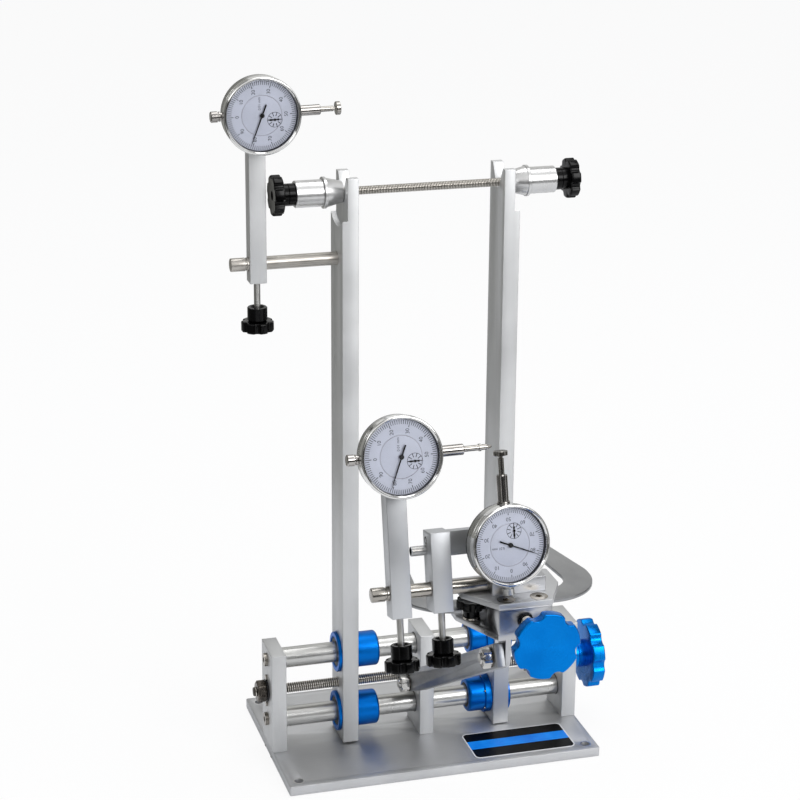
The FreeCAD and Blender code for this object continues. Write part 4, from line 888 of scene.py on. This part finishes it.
# Flat faces of a plain number, centred on a point of the dial.
def numberOutlines(text, height, centre):
    curve = bpy.data.curves.new("number", "FONT")
    curve.body, curve.size, curve.resolution_u = text, height / 0.72, 3
    curve.align_x, curve.align_y = "CENTER", "CENTER"
    holder = bpy.data.objects.new("number", curve)
    mesh = holder.to_mesh()
    spots = np.array([vert.co[:] for vert in mesh.vertices])[:, :2]
    outlines = [[spots[i] + centre for i in polygon.vertices] for polygon in mesh.polygons]
    holder.to_mesh_clear()
    bpy.data.objects.remove(holder)
    bpy.data.curves.remove(curve)
    return outlines


small = -gauge["smallAt"] * np.array((math.sin(math.radians(gauge["smallTurn"])),
                                      math.cos(math.radians(gauge["smallTurn"]))))
printOutlines = (tickOutlines(gauge["ticks"], *gauge["tick"], gauge["tickWide"])
                 + tickOutlines(10, gauge["longTick"], gauge["tick"][0], gauge["longWide"]))
for step in range(10):
    a = 2 * math.pi * step / 10
    spot = np.array((math.sin(a), math.cos(a))) * gauge["digitAt"]
    printOutlines += numberOutlines(str(step * 10), gauge["digit"], spot)
middleOutlines = (ringOutlines(gauge["smallCircle"], 0.3, small, 40)
                  + tickOutlines(10, gauge["smallCircle"] - gauge["smallTick"],
                                 gauge["smallCircle"], 0.5, small)
                  + numberOutlines("0.01 mm", 1.9, np.array((8.6, 1.5))))
circleOutlines = ringOutlines(gauge["circle"], 0.25)

# polished ring: skirt, flat side with two fine grooves, rounded lip, sloping inside
wide, front, face, lip = gauge["bezel"], gauge["front"], gauge["face"], gauge["lip"]
ring = [(4.2, 27.65), (4.2, 27.9), (4.5, wide), (5.5, wide), (5.65, 28.0), (5.8, wide),
        (8.9, wide), (9.05, 28.0), (9.2, wide)]
ring += [(front - lip * (1 - math.sin(a)), wide - lip * (1 - math.cos(a)))
         for a in np.linspace(0, math.pi / 2, 6)]
ring += [(front, 26.7), (front - 0.3, 26.25), (front - 0.9, 25.95), (front - 1.0, 25.8),
         (face, 25.5), (face - 0.4, 25.5), (5.9, 26.4), (5.9, 27.65), (4.2, 27.65)]
# inner wall of the bezel in black: painted shade for the dark of the wall that faces away from the
# light
shadedWall = [(face - 0.3, 25.4), (face - 0.3, 25.2), (face + 0.1, 25.15), (8.95, 25.55), (8.95, 25.7)]
middle = [(face - 0.5, 14.55), (face - 0.04, 14.59), (face, 14.5), (face, 0.0)]
# long hand with a broad tail, the small hand like a bow, and the hub of both
tail, length, smallLength = gauge["handTail"], gauge["handLength"], gauge["smallHand"]
blade = np.array(((-0.55, -tail), (0.55, -tail), (0.5, 0), (0.38, 14), (0.12, length),
                  (-0.12, length), (-0.38, 14), (-0.5, 0)))
bow = np.array(((-0.75, -3.0), (0.75, -3.0), (0.22, 0), (0.7, 3.1), (0.1, smallLength),
                (-0.1, smallLength), (-0.7, 3.1), (-0.22, 0)))
hub = np.array([(1.7 * math.cos(t), 1.7 * math.sin(t))
                for t in np.linspace(0, 2 * math.pi, 28)[:-1]])

for name, place in gaugePlaces.items():
    origin, (across, upward, outward) = gaugeFrame(place)
    tip, stemEnd, body, bezelBody = place["tip"], place["stem"], place["body"], name + "_bezel"
    lug = [(5.4, 8.0), (5.5 + place["lug"], 8.0), (5.5 + place["lug"], 0.0)]
    stem = [(26.0, 3.8), (28.2, 4.6), (29.0, 4.6), (29.2, 3.8), (stemEnd - 0.5, 3.8),
            (stemEnd, 3.3), (stemEnd, 2.1)]
    rod = [(stemEnd - 2, 2.0), (tip - 5.0, 2.0), (tip - 4.8, 1.4), (tip - 3.2, 1.4),
           (tip - 3.2, 4.6), (tip - 2.9, 4.9), (tip - 0.3, 4.9), (tip, 4.6), (tip, 0.0)]
    if place["nib"]:
        rod = [(stemEnd - 2, 2.0), (tip - 9.2, 2.0), (tip - 9.0, 2.6), (tip - 7.6, 2.6),
               (tip - 7.4, 2.0), (tip - 3.5, 2.0), (tip - 3.5, 1.6), (tip - 0.6, 1.1), (tip, 0.6),
               (tip, 0.0)]
    dress(name + "_gauge_dial", "dialPaint")
    dress(name + "_gauge_crystal", "glass")
    clock = math.radians(place["clock"])
    spin = np.array(((math.cos(clock), -math.sin(clock)), (math.sin(clock), math.cos(clock))))
    top = face + gauge["ink"]
    for part, shapes, rides, look, node in (
            ("GaugeBezel", [lathe(origin, outward, ring, 128)], bezelBody, "chrome",
             "_gauge_bezel"),
            ("GaugeCase", [lathe(origin, outward, gauge["cup"], 96)], body, "satinCase",
             "_gauge_case"),
            ("GaugeGasket", [lathe(origin, outward, gauge["gasket"], 96)], body, "seal", None),
            ("GaugeBack", [lathe(origin, outward, gauge["cover"], 96)], body, "satinCase", None),
            ("ShadedDialWall", [lathe(origin, outward, shadedWall, 96)], bezelBody, "handEnamel", None),
            ("GaugeLug", [lathe(origin, -outward, lug, 48)], body, "satinCase", None),
            ("GaugeStem", [lathe(origin, across, stem, 48)], body, "stemSteel", None),
            ("GaugeCap", [lathe(origin, -across, gauge["cap"], 48)], body, place["cap"], None),
            ("GaugePlunger", [lathe(origin, across, rod, 40)], name + "_plunger", "groundPin",
             "_gauge_plunger"),
            ("DialPrint", [flatShape(place, printOutlines, face, top)],
             bodyOf(name + "_gauge_dial"), "blackPrint", None),
            ("DialMiddle", [lathe(origin, outward, middle, 96)], body, "dialPaint", None),
            ("MiddlePrint", [flatShape(place, middleOutlines, face, top)], body, "blackPrint",
             None),
            ("DialCircle", [flatShape(place, circleOutlines, face, top)], body, "circlePrint",
             None),
            ("Pointer", [flatShape(place, [blade @ spin], 7.9, 8.15),
                         flatShape(place, [hub], 7.6, 8.3)], name + "_pointer", "handEnamel",
             "_gauge_pointer"),
            ("Counter", [flatShape(place, [bow + small], 7.0, 7.2),
                         flatShape(place, [hub * 0.53 + small], 6.9, 7.4)], name + "_counter",
             "handEnamel", "_gauge_counter")):
        addPiece(name + part, shapes, rides, look, [name + node] if node else (),
                 30.0 if part == "GaugeBezel" else 35.0)
print("gauges done")


# Pale paper. The camera sees it nearly white, and a part of the object's shadow on it.
def sweepMaterial():
    material, tree, shader = newMaterial("matt pale paper sweep")
    setInputs(tree, shader, {"Base Color": linearColour("#fafafa"), "Roughness": 0.9})
    glow = addNode(tree, "Emission", {"Color": linearColour("#ffffff"), "Strength": 1.0})
    path = addNode(tree, "LightPath")
    direct = addNode(tree, "Math", {0: path.outputs["Is Camera Ray"],
                                    1: path.outputs["Is Transmission Ray"]}, operation="MAXIMUM")
    share = addNode(tree, "Math", {0: direct, 1: 0.9}, operation="MULTIPLY")
    mix = addNode(tree, "MixShader", {0: share, 1: shader, 2: glow})
    setInputs(tree, tree.nodes["Material Output"], {"Surface": mix})
    return material


# A flat sheet of the set from one corner along two edges, in metres.
def sheet(name, corner, width, height, material):
    corner, width, height = Vector(corner), Vector(width), Vector(height)
    mesh = bpy.data.meshes.new(name)
    mesh.from_pydata([corner, corner + width, corner + width + height, corner + height], [],
                     [(0, 1, 2, 3)])
    mesh.materials.append(material)
    card = bpy.data.objects.new(name, mesh)
    bpy.context.scene.collection.objects.link(card)
    return card


# A card beside the set: only mirror-like surfaces show it, as a grey band.
def flag(name, corner, width, height, colour):
    material = bpy.data.materials.new(name)
    material.use_nodes = True
    tree = material.node_tree
    tree.nodes.clear()
    glow = addNode(tree, "Emission", {"Color": linearColour(colour), "Strength": 1.0})
    addNode(tree, "OutputMaterial", {"Surface": glow})
    card = sheet(name, corner, width, height, material)
    card.visible_camera = card.visible_diffuse = card.visible_shadow = False
    card.visible_transmission = False


sheet("floor", (-6, -6, -0.0004), (12, 0, 0), (0, 12, 0), sweepMaterial())

world = bpy.data.worlds.new("studio")
bpy.context.scene.world = world
world.use_nodes = True
tree = world.node_tree
tree.nodes.clear()
path = addNode(tree, "LightPath")
seen = addNode(tree, "Math", {0: path.outputs["Is Camera Ray"], 1: path.outputs["Is Glossy Ray"]},
               operation="MAXIMUM")
seen = addNode(tree, "Math", {0: seen, 1: path.outputs["Is Transmission Ray"]},
               operation="MAXIMUM")
lit = addNode(tree, "Background", {"Color": linearColour("#f2f4f8"), "Strength": 0.55})
shown = addNode(tree, "Background", {"Color": linearColour("#ffffff"), "Strength": 1.0})
mix = addNode(tree, "MixShader", {0: seen, 1: lit, 2: shown})
addNode(tree, "OutputWorld", {"Surface": mix})


# Rectangular lamp that looks at a target.
def softBox(name, place, target, size, power):
    light = bpy.data.lights.new(name, "AREA")
    light.shape, light.size, light.size_y = "RECTANGLE", size[0], size[1]
    light.energy = power
    lamp = bpy.data.objects.new(name, light)
    lamp.location = place
    lamp.rotation_euler = (Vector(target) - Vector(place)).to_track_quat("-Z", "Y").to_euler()
    bpy.context.scene.collection.objects.link(lamp)


softBox("keyBox", (1.5, -2.8, 2.0), (0, 0, 0.25), (2.0, 1.6), 60)
softBox("fillBox", (-1.5, -1.2, 1.4), (0, 0, 0.25), (0.8, 0.8), 4)
softBox("lowBox", (0.75, -2.6, 0.35), (0, 0, 0.2), (1.8, 0.5), 10)
softBox("topBox", (0.2, 0.3, 2.2), (0, 0, 0.2), (1.4, 1.0), 13)
for name, corner, width, height, grey in (
        ("leftFlag", (-1.3, 0.45, 0), (1.18, 0, 0), (0, 0, 1.1), "#9b9b97"),
        ("sideFlag", (-0.6, -0.8, 0), (0, 1.25, 0), (0, 0, 0.7), "#747472"),
        ("rightFlag", (0.6, -0.5, 0), (0, 1.1, 0), (0, 0, 0.55), "#6c6c6a"),
        ("lowFlag", (-0.12, 0.6, 0), (1.5, 0, 0), (0, 0, 0.16), "#555555"),
        ("frontFlag", (-0.9, -1.5, 0), (2.6, 0, 0), (0, 0, 0.36), "#2c2c2c"),
        ("midFlag", (-1.3, -1.15, 0.3), (2.2, 0, 0), (0, 0, 0.36), "#3a3a3a"),
        ("backFlag", (-0.5, 1.6, 0.35), (2.7, 0, 0), (0, 0, 2.1), "#e4e4e2"),
        ("ceilingFlag", (-1.6, -0.3, 2.45), (3.2, 0, 0), (0, 2.9, 0), "#8c8c8c")):
    flag(name, corner, width, height, grey)

azimuth, elevation = math.radians(camera["azimuth"]), math.radians(camera["elevation"])
sight = Vector((math.sin(azimuth) * math.cos(elevation), math.cos(azimuth) * math.cos(elevation),
                -math.sin(elevation)))
lens = bpy.data.cameras.new("camera")
lens.lens, lens.sensor_width = camera["lens"], 36.0
viewer = bpy.data.objects.new("camera", lens)
target = Vector(camera["target"]) * mm
viewer.location = target - sight * camera["distance"] * mm
straight = sight.to_track_quat("-Z", "Y").to_matrix()
right, up = straight.col[0].copy(), straight.col[1].copy()
roll = math.radians(camera["roll"])
rolledRight = right * math.cos(roll) + up * math.sin(roll)
rolledUp = up * math.cos(roll) - right * math.sin(roll)
turned = [list(axis) for axis in zip(rolledRight, rolledUp, -sight)]
viewer.matrix_world = (Matrix.Translation(viewer.location) @ Matrix(turned).to_4x4())
bpy.context.scene.collection.objects.link(viewer)
bpy.context.scene.camera = viewer
lens.dof.use_dof = False
bpy.context.scene.view_settings.view_transform = "Standard"
